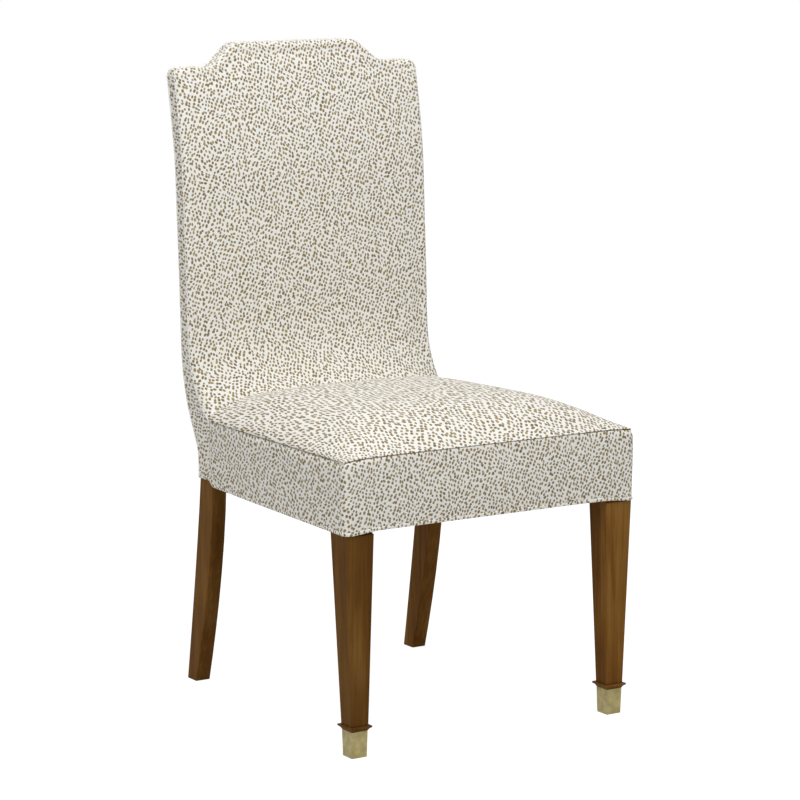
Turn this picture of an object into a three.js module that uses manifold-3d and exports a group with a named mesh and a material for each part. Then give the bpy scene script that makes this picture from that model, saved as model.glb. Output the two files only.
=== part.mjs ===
// An upholstered dining chair with a high back and tapered front legs.
// Millimetres, +Z up. The chair faces -Y, and left is -X. Depths run back from the front of the seat.
// The finished group stands on z = 0 with the middle of its box over the origin.

import * as THREE from 'three';
import { mergeVertices } from 'three/addons/utils/BufferGeometryUtils.js';
import Module from 'manifold-3d';

const wasm = await Module();
wasm.setup();

// Driving dimensions
const seatFrontHalfWidth = 263.7;
const seatTaper = 34;
const seatRearDepth = 519.5;
const backFootDepth = 41.5;
const hemFrontHeight = 348.5;
const hemCornerDip = 3.9;
const hemSideFall = 5.8;
const rearHemDip = 1.5;
const borderHeight = 108;
const seamFall = 10.5;
const crownRise = 51.5;
const crownRun = 300;
const crownFallRun = 138;
const crownRearFall = 17.3;
const rimRise = 5.2;
const rimRun = 12;
const backSideInset = 0.2;
const backThickness = 37;
const backRake = 104.5;
const shoulderHeight = 1004;
const crestRise = 37;
const shoulderRun = 64.5;
const crestSweepRun = 58;

// Sizes of the outside that follow from those
const seatRearHalfWidth = seatFrontHalfWidth - seatTaper;
const seatTopDepth = seatRearDepth - backFootDepth;
const hemCornerHeight = hemFrontHeight - hemCornerDip;
const hemSideRearHeight = hemCornerHeight - hemSideFall;
const rearHemHeight = hemFrontHeight - rearHemDip;
const seamFrontHeight = hemFrontHeight + borderHeight;
const seamRearHeight = seamFrontHeight - seamFall;
const crownFallDepth = seatTopDepth - crownFallRun;
const backHalfWidth = seatRearHalfWidth - backSideInset;
const crestHeight = shoulderHeight + crestRise;
const crestSweepHalfWidth = backHalfWidth - shoulderRun;
const crestCentreHalfWidth = crestSweepHalfWidth - crestSweepRun;

// Layers of the upholstery
const coverThickness = 1.7;
const waddingThickness = 2.6;
const clothThickness = 0.8;
const strapThickness = 1.2;
const clearance = 0.3;
const seamGap = 1;
const edgeGap = 0.6;
const frontBulge = 2.5;
const seatCornerRadius = 10;
const backCornerRadius = 15;
const backEdgeRadius = 9;
const hemBandHeight = 5.5;
const hemBandProud = 0.8;
const hemCornerRun = 45;
const hemStepRun = 14;
const backFoamThickness = 8.2;
const backCrown = 3;
const coveHeight = 150;

// Wooden frame
const railHeight = 64.5;
const railThickness = 22;
const railLift = 2;
const rearRailLift = 2;
const frontFootInset = 27.3;
const frontFootDepth = 20.7;
const frontLegTopInset = 26.1;
const frontLegTopDepth = 24.9;
const frontLegTopWidth = 48.1;
const frontLegNeckWidth = 30.8;
const rearPostWidth = 26.1;
const rearLegFrontInset = 1;
const rearLegRearInset = 0.6;
const rearLegFrontSweep = 63.5;
const rearLegRearSweep = 51;
const easedEdge = 1.2;
const crestRailDrop = 79;
const lowerBackRailLift = 16;
const lowerBackRailHeight = 50;

// Ferrules and collars on the front feet
const ferruleHeight = 41.2;
const ferruleFootWidth = 26.4;
const ferruleTopWidth = 28.5;
const ferruleWall = 1.5;
const collarHeight = 7.8;
const collarTopWidth = 38.9;
const collarBottomWidth = 29.4;
const collarLipHeight = 2.6;

// Joinery
const tenonLength = 20;
const tenonThickness = 10;
const tenonHeight = 44;
const lowerTenonHeight = 30;
const crestTenonWidth = 16;
const crestTenonThickness = 9;
const tenonRoot = 6;
const tenonGap = 1.6;
const blockHeight = 30;
const blockDrop = 10;
const blockLeg = 60;
const screwShankRadius = 2;
const screwShankLength = 28;
const screwHeadRadius = 4;
const screwHeadHeight = 2.4;
const screwSeatDepth = 14;
const screwPocketRadius = 5;
const screwFacets = 8;
const cutOverrun = 40;

// Webbing
const strapWidth = 55;
const strapWeave = 0.85;
const strapEndInset = 4;
const seatStrapSideInset = 27;
const seatStrapFrontInset = 83.35;
const seatStrapCount = 4;
const backStrapLift = 84;
const backStrapDrop = 20;
const backStrapGap = 40;
const clothInset = 3;
const backClothSideInset = 10.6;
const backClothLift = 19;
const backClothDrop = 29;

// Depths of the layers under the outer surface
const waddingDepth = coverThickness + clearance;
const coreDepth = waddingDepth + waddingThickness + clearance;
const backFoamDepth = coverThickness + clearance;
const backClothDepth = backFoamDepth + backFoamThickness + clearance;
const backStrapDepth = backClothDepth + clothThickness + clearance;
const backFrameDepth = backStrapDepth + strapThickness + clearance;
const backBoardThickness = backThickness - backFrameDepth - coreDepth;
const railBottomHeight = hemFrontHeight + railLift;
const railTopHeight = railBottomHeight + railHeight;
const strapLevel = railTopHeight + clearance + strapThickness / 2;
const deckHeight = strapLevel + strapWeave + strapThickness / 2 + clearance;
const seatFoamBottomHeight = deckHeight + clothThickness + clearance;
const rearBandTopHeight = rearHemHeight + hemBandHeight;

// Places of the legs and of the boards of the back
const frontFootX = seatFrontHalfWidth - frontFootInset;
const frontLegTopX = seatFrontHalfWidth - frontLegTopInset;
const rearPostOuterX = backHalfWidth - coreDepth;
const rearLegTopFrontDepth = seatTopDepth - rearLegFrontInset;
const rearLegTopRearDepth = seatRearDepth - rearLegRearInset;
const crestRailBottomHeight = shoulderHeight - crestRailDrop;
const lowerBackRailBottomHeight = railTopHeight + lowerBackRailLift;
const lowerBackRailTopHeight = lowerBackRailBottomHeight + lowerBackRailHeight;
const backStrapBottomHeight = lowerBackRailTopHeight + backStrapLift;
const backStrapRoom = crestRailBottomHeight - backStrapDrop - backStrapBottomHeight;
const backStrapCount = Math.round((backStrapRoom + backStrapGap) / (strapWidth + backStrapGap));
const backStrapPitch = (backStrapRoom - strapWidth) / (backStrapCount - 1);

// Shapes, as shares of the sizes that they follow
const crownAcrossPower = 5;
const crownAlongPower = 5.4;
const covePower = 3;
const rearLegFrontPower = 1.6;
const rearLegRearPower = 1.15;
const edgeReachShare = 0.94;
const backProfileShares = [
  [0, 0], [0.07, 0.048], [0.108, 0.167], [0.151, 0.311], [0.208, 0.44], [0.265, 0.512], [0.331, 0.539],
  [0.445, 0.569], [0.597, 0.622], [0.739, 0.679], [0.823, 0.761], [0.88, 0.833], [1, 1],
];
const lowerLevelCount = 4;
const crestSweepShares = [[1, 0], [0.84, 0.09], [0.52, 0.5], [0.16, 0.94], [0, 1]];
const acrossShares = [0, 0.26, 0.48, 0.66, 0.8, 0.9, 0.96, 0.99, 1];
const sideSpanShares = [0, 0.01, 0.04, 0.35, 0.7, 1];
const alongShares = [0, 0.005, 0.018, 0.045, 0.1, 0.18, 0.3, 0.44, 0.6, 0.76, 0.89, 1];
const coveRowShares = [0, 0.12, 0.3, 0.55];
const crestRowShares = [0.5, 1];
const edgeTurnShares = [0.5, 0.8, 1];
const shoulderColumnShare = 0.5;
const sabreShares = [0, 0.12, 0.26, 0.4, 0.55, 0.7, 0.85, 1];
const borderUpShares = [0, 0.25, 0.5, 0.75, 1];
const cornerTurnShares = [0, 1 / 3, 2 / 3, 1];
const collarCoveShares = [[0, 0], [0.14, 0.34], [0.45, 0.68], [0.82, 0.9], [1, 1]];
const frontSpanShares = [0.18, 0.45, 0.72, 1];
const stripShares = [0, 1];
const screwPlaceShare = 0.4;

// Materials
const material = (color, roughness, metalness = 0) =>
  new THREE.MeshStandardMaterial({ color, roughness, metalness });
const finishedWood = material(0x7a4f2a, 0.45);
const frameWood = material(0xb99564, 0.75);
const brass = material(0xb9a877, 0.35, 0.9);
const steel = material(0x9a9a9a, 0.4, 0.9);
const fabric = material(0xd9d5c9, 0.95);
const foam = material(0xe9dfb8, 0.95);
const wadding = material(0xf2f2ee, 1);
const webbing = material(0x8a7a5c, 0.95);
const hessian = material(0xa08a62, 1);
const cambric = material(0x26262a, 1);

const chair = new THREE.Group();

// Closed solids

function closed(points, faces) {
  const volume = new THREE.Vector3();
  let sum = 0;
  for (let k = 0; k < faces.length; k += 3) {
    volume.crossVectors(points[faces[k]], points[faces[k + 1]]);
    sum += volume.dot(points[faces[k + 2]]);
  }
  const index = sum < 0 ? faces.toReversed() : faces;
  const geometry = new THREE.BufferGeometry();
  geometry.setFromPoints(points);
  geometry.setIndex(index);
  return geometry;
}

// The solid between two grids of points that have the same rows and columns. The diagonals of its faces
// turn over at the middle column, so that a symmetric grid gives a symmetric solid.
function between(outer, inner) {
  const columns = outer.length;
  const rows = outer[0].length;
  const at = (side, i, j) => (side * columns + i) * rows + j;
  const faces = [];
  const quad = (a, b, c, d) => faces.push(a, b, c, a, c, d);
  for (let i = 0; i < columns - 1; i += 1) {
    const turned = 2 * i < columns - 1
      ? quad
      : (a, b, c, d) => quad(b, c, d, a);
    for (let j = 0; j < rows - 1; j += 1) {
      turned(at(0, i, j), at(0, i + 1, j), at(0, i + 1, j + 1), at(0, i, j + 1));
      turned(at(1, i, j), at(1, i, j + 1), at(1, i + 1, j + 1), at(1, i + 1, j));
    }
    quad(at(0, i + 1, 0), at(0, i, 0), at(1, i, 0), at(1, i + 1, 0));
    quad(at(0, i, rows - 1), at(0, i + 1, rows - 1), at(1, i + 1, rows - 1), at(1, i, rows - 1));
  }
  for (let j = 0; j < rows - 1; j += 1) {
    quad(at(0, 0, j), at(0, 0, j + 1), at(1, 0, j + 1), at(1, 0, j));
    quad(at(0, columns - 1, j + 1), at(0, columns - 1, j), at(1, columns - 1, j), at(1, columns - 1, j + 1));
  }
  return closed([...outer.flat(), ...inner.flat()], faces);
}

// The solid through a pile of rings that have the same number of points.
function loft(rings) {
  const count = rings[0].length;
  const top = (rings.length - 1) * count;
  const faces = [];
  for (let r = 0; r < top; r += count) {
    for (let k = 0; k < count; k += 1) {
      const next = (k + 1) % count;
      faces.push(r + k, r + next, r + count + next, r + k, r + count + next, r + count + k);
    }
  }
  for (let k = 1; k < count - 1; k += 1) {
    faces.push(0, k + 1, k, top, top + k, top + k + 1);
  }
  return closed(rings.flat(), faces);
}

// A straight-sided solid that stands on the outline given by points in plan.
function prism(plan, bottom, height) {
  const shape = new THREE.Shape(plan.map(([x, y]) => new THREE.Vector2(x, y)));
  const geometry = new THREE.ExtrudeGeometry(shape, { depth: height, bevelEnabled: false });
  return geometry.translate(0, 0, bottom);
}

function toSolid(geometry) {
  const bare = geometry.clone();
  bare.deleteAttribute('normal');
  bare.deleteAttribute('uv');
  const merged = mergeVertices(bare);
  const vertProperties = Float32Array.from(merged.attributes.position.array);
  const triVerts = Uint32Array.from(merged.index.array);
  return new wasm.Manifold(new wasm.Mesh({ numProp: 3, vertProperties, triVerts }));
}

function fromSolid(solid) {
  const mesh = solid.getMesh();
  const geometry = new THREE.BufferGeometry();
  geometry.setAttribute('position', new THREE.BufferAttribute(mesh.vertProperties, 3));
  geometry.setIndex(new THREE.BufferAttribute(mesh.triVerts, 1));
  return geometry;
}

// A solid with some pieces joined on and others cut away.
function shaped(geometry, joined, cutters) {
  let solid = toSolid(geometry);
  for (const piece of joined) {
    solid = solid.add(toSolid(piece));
  }
  for (const cutter of cutters) {
    solid = solid.subtract(toSolid(cutter));
  }
  return fromSolid(solid);
}

function add(name, geometry, finish) {
  const mesh = new THREE.Mesh(geometry, finish);
  mesh.name = name;
  chair.add(mesh);
  return mesh;
}

// Sizes along the outer surface

const lerp = THREE.MathUtils.lerp;
const share = (value, low, high) => THREE.MathUtils.clamp((value - low) / (high - low), 0, 1);

function along(table, position) {
  const next = Math.max(1, table.findIndex(([place]) => place >= position));
  const [place0, value0] = table[next - 1];
  const [place1, value1] = table[next];
  return lerp(value0, value1, share(position, place0, place1));
}

const seatHalfWidth = (depth) => lerp(seatFrontHalfWidth, seatRearHalfWidth, depth / seatTopDepth);
const seamHeight = (depth) => lerp(seamFrontHeight, seamRearHeight, depth / seatTopDepth);
const backRearDepth = (z) =>
  seatRearDepth + backRake * along(backProfileShares, share(z, rearHemHeight, crestHeight));
const straightFrontDepth = (z) => backRearDepth(z) - backThickness;

// The hem's lower edge dips at the front corners, falls towards the rear and steps up at the rear posts.
function hemHeight(p) {
  const cornerX = seatFrontHalfWidth - seatCornerRadius;
  if (p.frontShare > 0) {
    return lerp(hemCornerHeight, hemFrontHeight, share(cornerX - Math.abs(p.x), 0, hemCornerRun));
  }
  const stepDepth = seatTopDepth - hemStepRun;
  const step = share(p.y, stepDepth, seatTopDepth);
  return lerp(lerp(hemCornerHeight, hemSideRearHeight, share(p.y, 0, stepDepth)), rearHemHeight, step);
}

// The seat's crown over its seam, which rises quickly at its rim and then slowly.
const rounded = (off, power) => (1 - off ** power) ** (1 / power);
const rim = (run) => rounded(1 - share(run, 0, rimRun), 2);
const rimAt = (acrossShare, depth, run) => rim((1 - Math.abs(acrossShare)) * seatHalfWidth(depth)) * rim(run);

function seatTopHeight(acrossShare, depth, run) {
  const across = 1 - Math.abs(acrossShare) ** crownAcrossPower;
  const forward = 1 - (1 - share(run, 0, crownRun)) ** crownAlongPower;
  const rearward = share(depth, crownFallDepth, seatTopDepth) ** 2;
  const rise = across * (crownRise * forward - crownRearFall * rearward);
  return seamHeight(depth) + rise + rimRise * rimAt(acrossShare, depth, run);
}

const junctionHeight = (x) => seatTopHeight(x / backHalfWidth, seatTopDepth, seatTopDepth) + clearance;

function insideBackDepth(x, z) {
  const foot = junctionHeight(x);
  const reach = straightFrontDepth(foot) - seatTopDepth - clearance;
  const cove = reach * (1 - share(z, foot, foot + coveHeight)) ** covePower;
  const fullness = (1 - (x / backHalfWidth) ** 2) * Math.sin(Math.PI * share(z, foot, crestHeight));
  return straightFrontDepth(z) - cove - backCrown * fullness;
}

// Heights of the rows of points on the back, which all its layers share.
const profileLevels = backProfileShares.map(([up]) => lerp(rearHemHeight, crestHeight, up));
const lowerLevels = profileLevels.slice(1, lowerLevelCount + 1);
const upperLevels = profileLevels.slice(lowerLevelCount + 1, -1);
const coveRows = (foot) => coveRowShares.map((up) => lerp(foot, upperLevels[0], up));
const crestRows = (top) => [
  ...crestRowShares.map((up) => lerp(upperLevels.at(-1), top - backEdgeRadius, up)),
  ...edgeTurnShares.map((up) => lerp(top - backEdgeRadius, top, up)),
];
const insideRows = (x, top) => [...coveRows(junctionHeight(x)), ...upperLevels, ...crestRows(top)];
const panelBottomHeight = rearBandTopHeight + clearance;
const outsideRows = (top) => [panelBottomHeight, ...lowerLevels, ...upperLevels, ...crestRows(top)];

// The front of the back along its sides, from row to row.
const edgeRows = insideRows(backHalfWidth, crestHeight);
const edgeFrontTable = edgeRows.map((z) => [z, insideBackDepth(backHalfWidth, z)]);
const edgeFrontDepth = (z) => along(edgeFrontTable, z);
const edgeHeights = (bottom, top) => {
  const nodes = [...edgeFrontTable.map(([z]) => z), ...profileLevels];
  const inside = nodes.filter((z) => z > bottom + clearance && z < top - clearance);
  return [bottom, ...new Set(inside.sort((a, b) => a - b)), top];
};

// How far a face falls back where it turns into an edge.
const arcSetback = (turn) => backEdgeRadius * (1 - Math.sqrt(1 - (edgeReachShare * turn) ** 2));
const fullSetback = arcSetback(1);

function edgeSetback(x, z, top) {
  const side = share(Math.abs(x), backHalfWidth - backEdgeRadius, backHalfWidth);
  const up = share(z, top - backEdgeRadius, top);
  return arcSetback(Math.min(1, Math.hypot(side, up)));
}

// The crest's outline from the left shoulder to the right one, each point with its outward direction.
function crestOutline() {
  const right = [];
  const cornerX = backHalfWidth - backCornerRadius;
  const cornerZ = shoulderHeight - backCornerRadius;
  for (const turnShare of cornerTurnShares) {
    const angle = turnShare * Math.PI / 2;
    right.push([cornerX + backCornerRadius * Math.cos(angle), cornerZ + backCornerRadius * Math.sin(angle)]);
  }
  right.push([lerp(cornerX, crestSweepHalfWidth, shoulderColumnShare), shoulderHeight]);
  for (const [outShare, riseShare] of crestSweepShares) {
    const x = lerp(crestCentreHalfWidth, crestSweepHalfWidth, outShare);
    right.push([x, lerp(shoulderHeight, crestHeight, riseShare)]);
  }
  const points = [...right.map(([x, z]) => [-x, z]), [0, crestHeight], ...right.toReversed()];
  return points.map(([x, z], k) => {
    const before = points[Math.max(k - 1, 0)];
    const after = points[Math.min(k + 1, points.length - 1)];
    const run = new THREE.Vector2(after[0] - before[0], after[1] - before[1]).normalize();
    const end = k === 0 || k === points.length - 1;
    return { x, z, outX: end ? Math.sign(x) : -run.y, outZ: end ? 0 : run.x };
  });
}

const crest = crestOutline();

// Sheets and blocks of the soft parts

// A standing wall whose plan follows a path of points with their outward directions.
function wall(path, upList, bottomAt, topAt, bulgeAt, from, thickness) {
  const grid = (inset) => path.map((p) => upList.map((up) => {
    const out = bulgeAt(p, up) - inset;
    return new THREE.Vector3(p.x + p.outX * out, p.y + p.outY * out, lerp(bottomAt(p), topAt(p), up));
  }));
  return between(grid(from), grid(from + thickness));
}

// The seat's outline in plan, from the rear of the left side round the front to the rear of the right side.
function seatPath(rearDepth) {
  const taper = Math.atan2(seatFrontHalfWidth - seatRearHalfWidth, seatTopDepth);
  const right = [];
  const cornerX = seatFrontHalfWidth - seatCornerRadius;
  for (const sideShare of sideSpanShares.slice(0, -1)) {
    const y = lerp(rearDepth, seatCornerRadius, sideShare);
    right.push({ x: seatHalfWidth(y), y, outX: Math.cos(taper), outY: Math.sin(taper), frontShare: 0 });
  }
  for (const turnShare of cornerTurnShares) {
    const angle = turnShare * Math.PI / 2;
    right.push({
      x: cornerX + seatCornerRadius * Math.cos(angle),
      y: seatCornerRadius - seatCornerRadius * Math.sin(angle),
      outX: Math.cos(angle),
      outY: -Math.sin(angle),
      frontShare: 0,
    });
  }
  for (const frontShare of frontSpanShares) {
    right.push({ x: cornerX * (1 - frontShare), y: 0, outX: 0, outY: -1, frontShare });
  }
  const left = right.slice(0, -1).map((p) => ({ ...p, x: -p.x, outX: -p.outX }));
  return [...left, right.at(-1), ...right.slice(0, -1).toReversed()];
}

const bulge = (p, up) => frontBulge * Math.sin(Math.PI * up) * Math.sin(p.frontShare * Math.PI / 2);

// The seat's top at an inset under its outer surface, as columns of points from front to rear.
const seatAcrossShares = [...acrossShares.slice(1).map((value) => -value).toReversed(), ...acrossShares];

function seatFace(inset) {
  return seatAcrossShares.map((across) => {
    const reach = Math.abs(across) * seatFrontHalfWidth;
    const turn = share(reach, seatFrontHalfWidth - seatCornerRadius, seatFrontHalfWidth);
    const front = seatCornerRadius * (1 - Math.sqrt(1 - turn ** 2));
    return alongShares.map((up) => {
      const depth = lerp(front, seatTopDepth - clearance, up);
      const drop = inset * rimAt(across, depth, depth - front);
      return new THREE.Vector3(
        across * (seatHalfWidth(depth) - inset),
        lerp(front + inset, seatTopDepth - clearance, up),
        seatTopHeight(across, depth, depth - front) - drop,
      );
    });
  });
}

// A face of the back at an inset under its outer surface, which draws in its edges by as much.
function backFace(rowsAt, depthAt, sense, inset) {
  const drawn = (backEdgeRadius - inset) / backEdgeRadius;
  const drawnIn = (value, limit) => (value <= limit ? value : lerp(limit, value, drawn));
  return crest.map((column) => rowsAt(column).map((row) => {
    const x = Math.sign(column.x) * drawnIn(Math.abs(column.x), backHalfWidth - backEdgeRadius);
    const z = drawnIn(row, column.z - backEdgeRadius);
    const setback = inset + edgeSetback(column.x, row, column.z) * drawn;
    return new THREE.Vector3(x, depthAt(column.x, z) + sense * setback, z);
  }));
}

const insideFace = (inset) => backFace(({ x, z }) => insideRows(x, z), insideBackDepth, 1, inset);
const outsideFace = (inset) => backFace(({ z }) => outsideRows(z), (x, z) => backRearDepth(z), -1, inset);

// The crest's outline drawn in by an inset.
const crestInset = (inset) =>
  crest.map(({ x, z, outX, outZ }) => ({ x: x - outX * inset, z: z - outZ * inset }));

// Front legs with their collars and ferrules

// A ring of eight points round a four-sided section with cut corners.
function easedRing(xIn, xOut, yFront, yRear, z, side, cut = easedEdge, frontOuterCut = cut) {
  return [
    [xIn + cut, yFront], [xOut - frontOuterCut, yFront], [xOut, yFront + frontOuterCut], [xOut, yRear - cut],
    [xOut - cut, yRear], [xIn + cut, yRear], [xIn, yRear - cut], [xIn, yFront + cut],
  ].map(([x, y]) => new THREE.Vector3(side * x, y, z));
}

const collarTopHeight = ferruleHeight + clearance + collarHeight;
const stubBottomHeight = ferruleWall + clearance;
const stubFootHalf = ferruleFootWidth / 2 - ferruleWall - clearance;
const stubTopHalf = ferruleTopWidth / 2 - ferruleWall - clearance;
const headInnerX = frontLegTopX - frontLegTopWidth / 2;
const headRearDepth = frontLegTopDepth + frontLegTopWidth / 2;
const shoulderGapHeight = hemHeight({ y: headRearDepth, frontShare: 0 }) - clearance;

function frontLeg(side) {
  const square = (x, y, half, z) => easedRing(x - half, x + half, y - half, y + half, z, side);
  const neckHeight = collarTopHeight + clearance;
  const headRing = (z) => {
    const ring = easedRing(headInnerX, seatFrontHalfWidth - coreDepth, coreDepth, headRearDepth, z, side,
      easedEdge, seatCornerRadius - coreDepth);
    for (const point of ring) {
      const limit = seatHalfWidth(point.y) - coreDepth;
      point.x = side * Math.min(side * point.x, limit);
    }
    return ring;
  };
  return loft([
    square(frontFootX, frontFootDepth, stubFootHalf, stubBottomHeight),
    square(frontFootX, frontFootDepth, stubTopHalf, neckHeight),
    square(frontFootX, frontFootDepth, frontLegNeckWidth / 2, neckHeight),
    square(frontLegTopX, frontLegTopDepth, frontLegTopWidth / 2, shoulderGapHeight),
    headRing(shoulderGapHeight),
    headRing(railTopHeight),
  ]);
}

// A four-sided moulding or cup, turned from a profile of half-widths and heights.
function squareTurning(profile) {
  const points = profile.map(([half, z]) => new THREE.Vector2(half * Math.SQRT2, z));
  return new THREE.LatheGeometry(points, 4, Math.PI / 4).rotateX(Math.PI / 2);
}

function collar() {
  const hole = stubTopHalf + clearance;
  const coveHeightInCollar = collarHeight - collarLipHeight;
  const cove = collarCoveShares.map(([outShare, upShare]) => [
    lerp(collarBottomWidth, collarTopWidth, outShare) / 2,
    coveHeightInCollar * upShare,
  ]);
  const profile = [[hole, 0], ...cove, [collarTopWidth / 2, collarHeight], [hole, collarHeight], [hole, 0]];
  return squareTurning(profile);
}

function ferrule() {
  return squareTurning([
    [0, 0],
    [ferruleFootWidth / 2, 0],
    [ferruleTopWidth / 2, ferruleHeight],
    [ferruleTopWidth / 2 - ferruleWall, ferruleHeight],
    [ferruleFootWidth / 2 - ferruleWall, ferruleWall],
    [0, ferruleWall],
  ]);
}

// Rear posts, each one a curved leg and the upright of the back in one piece
const sideJunctionHeight = junctionHeight(backHalfWidth);
const postFrontDepth = (z) => (z < sideJunctionHeight
  ? lerp(rearLegTopFrontDepth, edgeFrontDepth(sideJunctionHeight) + backFrameDepth,
    share(z, railTopHeight, sideJunctionHeight))
  : edgeFrontDepth(z) + backFrameDepth);

function rearPost(side) {
  const inner = rearPostOuterX - rearPostWidth;
  const ring = (front, rear, z) => easedRing(inner, rearPostOuterX, front, rear, z, side);
  const rings = [];
  const shoulder = rearHemHeight - clearance;
  for (const upShare of sabreShares) {
    const drop = 1 - upShare;
    const front = rearLegTopFrontDepth + rearLegFrontSweep * drop ** rearLegFrontPower;
    const rear = rearLegTopRearDepth + rearLegRearSweep * drop ** rearLegRearPower;
    rings.push(ring(front, rear, shoulder * upShare));
  }
  const heights = [
    ...edgeHeights(shoulder, railTopHeight - clearance),
    ...edgeHeights(railTopHeight, crestRailBottomHeight - clearance),
  ];
  for (const z of heights) {
    rings.push(ring(postFrontDepth(z), backRearDepth(z) - coreDepth, z));
  }
  return loft(rings);
}

// Boards of the back, which follow its lean
function crestRail() {
  const lower = [crestRailBottomHeight, ...upperLevels.filter((z) => z > crestRailBottomHeight)];
  const grid = (depthAt) => crestInset(coreDepth).map(({ x, z: top }) =>
    [...lower, top].map((z) => new THREE.Vector3(x, depthAt(z), z)));
  return between(grid((z) => edgeFrontDepth(z) + backFrameDepth), grid((z) => backRearDepth(z) - coreDepth));
}

// A plate that spans the back and keeps one depth behind the front of its sides, or before its rear.
function backPlate(half, bottom, top, frontAt, rearAt) {
  const grid = (depthAt) => [-half, half].map((x) =>
    edgeHeights(bottom, top).map((z) => new THREE.Vector3(x, depthAt(z), z)));
  return between(grid(frontAt), grid(rearAt));
}

function lowerBackRail() {
  const half = rearPostOuterX - rearPostWidth - clearance;
  const rearAt = (z) => backRearDepth(z) - coreDepth;
  const frontAt = (z) => rearAt(z) - backBoardThickness;
  return backPlate(half, lowerBackRailBottomHeight, lowerBackRailTopHeight, frontAt, rearAt);
}

// Seat rails
const frontRailRearDepth = coreDepth + railThickness;
const rearRailRearDepth = seatRearDepth - coreDepth;
const rearRailFrontDepth = rearRailRearDepth - railThickness;
const postInnerX = rearPostOuterX - rearPostWidth;
const sideRailFrontDepth = headRearDepth + clearance;
const sideRailRearDepth = rearLegTopFrontDepth - clearance;
const sideRailOuterX = (depth) => seatHalfWidth(depth) - coreDepth;
const sideRailInnerX = (depth) => sideRailOuterX(depth) - railThickness;

function crossRail(half, front, rear, bottom) {
  const plan = [[-half, front], [half, front], [half, rear], [-half, rear]];
  return prism(plan, bottom, railTopHeight - bottom);
}

function sideRail(side) {
  const plan = [
    [sideRailInnerX(sideRailFrontDepth), sideRailFrontDepth],
    [sideRailOuterX(sideRailFrontDepth), sideRailFrontDepth],
    [sideRailOuterX(sideRailRearDepth), sideRailRearDepth],
    [sideRailInnerX(sideRailRearDepth), sideRailRearDepth],
  ];
  const mirrored = plan.map(([x, y]) => [side * x, y]);
  return prism(side > 0 ? mirrored : mirrored.toReversed(), railBottomHeight, railHeight);
}

// Corner blocks, notched round the legs
const blockBottomHeight = railTopHeight - blockDrop - blockHeight;
const blockMiddleHeight = blockBottomHeight + blockHeight / 2;

const frontBlockPlan = [
  [headInnerX - clearance, frontRailRearDepth + clearance],
  [headInnerX - blockLeg, frontRailRearDepth + clearance],
  [sideRailInnerX(headRearDepth + blockLeg) - clearance, headRearDepth + blockLeg],
  [sideRailInnerX(headRearDepth) - clearance, headRearDepth + clearance],
  [headInnerX - clearance, headRearDepth + clearance],
];
const rearBlockPlan = [
  [postInnerX - clearance, rearRailFrontDepth - clearance],
  [postInnerX - blockLeg, rearRailFrontDepth - clearance],
  [sideRailInnerX(rearLegTopFrontDepth - blockLeg) - clearance, rearLegTopFrontDepth - blockLeg],
  [sideRailInnerX(rearLegTopFrontDepth) - clearance, rearLegTopFrontDepth - clearance],
  [postInnerX - clearance, rearLegTopFrontDepth - clearance],
];

// Tenons and screws, each placed by a point on its axis and a direction

function placed(geometry, point, direction) {
  const ahead = direction.clone().normalize();
  const turn = new THREE.Quaternion().setFromUnitVectors(new THREE.Vector3(0, 1, 0), ahead);
  return geometry.applyQuaternion(turn).translate(point.x, point.y, point.z);
}

const rod = (radius, length, facets) => new THREE.CylinderGeometry(radius, radius, length, facets);

// A tenon runs from its root in one piece, over the joint's face, into the other piece.
function tenonBox(joint, root, loose) {
  const length = joint.length + root + loose;
  const box = new THREE.BoxGeometry(length, joint.thickness + 2 * loose, joint.height + 2 * loose);
  box.translate(length / 2 - root, 0, 0);
  const ahead = joint.direction.clone().normalize();
  const up = joint.up.clone().normalize();
  const turn = new THREE.Matrix4().makeBasis(ahead, up.clone().cross(ahead), up);
  return box.applyMatrix4(turn).translate(joint.point.x, joint.point.y, joint.point.z);
}

const tenon = (joint) => tenonBox(joint, tenonRoot, 0);
const mortise = (joint) => tenonBox(joint, tenonRoot, clearance);

// A pan-head screw whose seat is at the origin and whose shank points along +Y.
function screw() {
  const points = [
    [0, -screwHeadHeight], [screwHeadRadius, -screwHeadHeight], [screwHeadRadius, 0],
    [screwShankRadius, 0], [screwShankRadius, screwShankLength], [0, screwShankLength],
  ].map(([radius, y]) => new THREE.Vector2(radius, y));
  return new THREE.LatheGeometry(points, screwFacets);
}

function screwCutters(fixing) {
  const hole = rod(screwShankRadius + clearance, 2 * (screwShankLength + clearance), screwFacets);
  const pocket = rod(screwPocketRadius, cutOverrun, screwFacets).translate(0, clearance - cutOverrun / 2, 0);
  return [hole, pocket].map((geometry) => placed(geometry, fixing.point, fixing.direction));
}

const acrossDirection = (side) => new THREE.Vector3(side, 0, 0);
const backDirection = new THREE.Vector3(0, 1, 0);
const forwardDirection = new THREE.Vector3(0, -1, 0);
const upDirection = new THREE.Vector3(0, 0, 1);
const railMiddleHeight = railTopHeight - railHeight / 2;

// The way up along the back at a height.
function leanAt(z) {
  const run = backRearDepth(z + tenonLength) - backRearDepth(z - tenonLength);
  return new THREE.Vector3(0, run, 2 * tenonLength);
}

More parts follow.
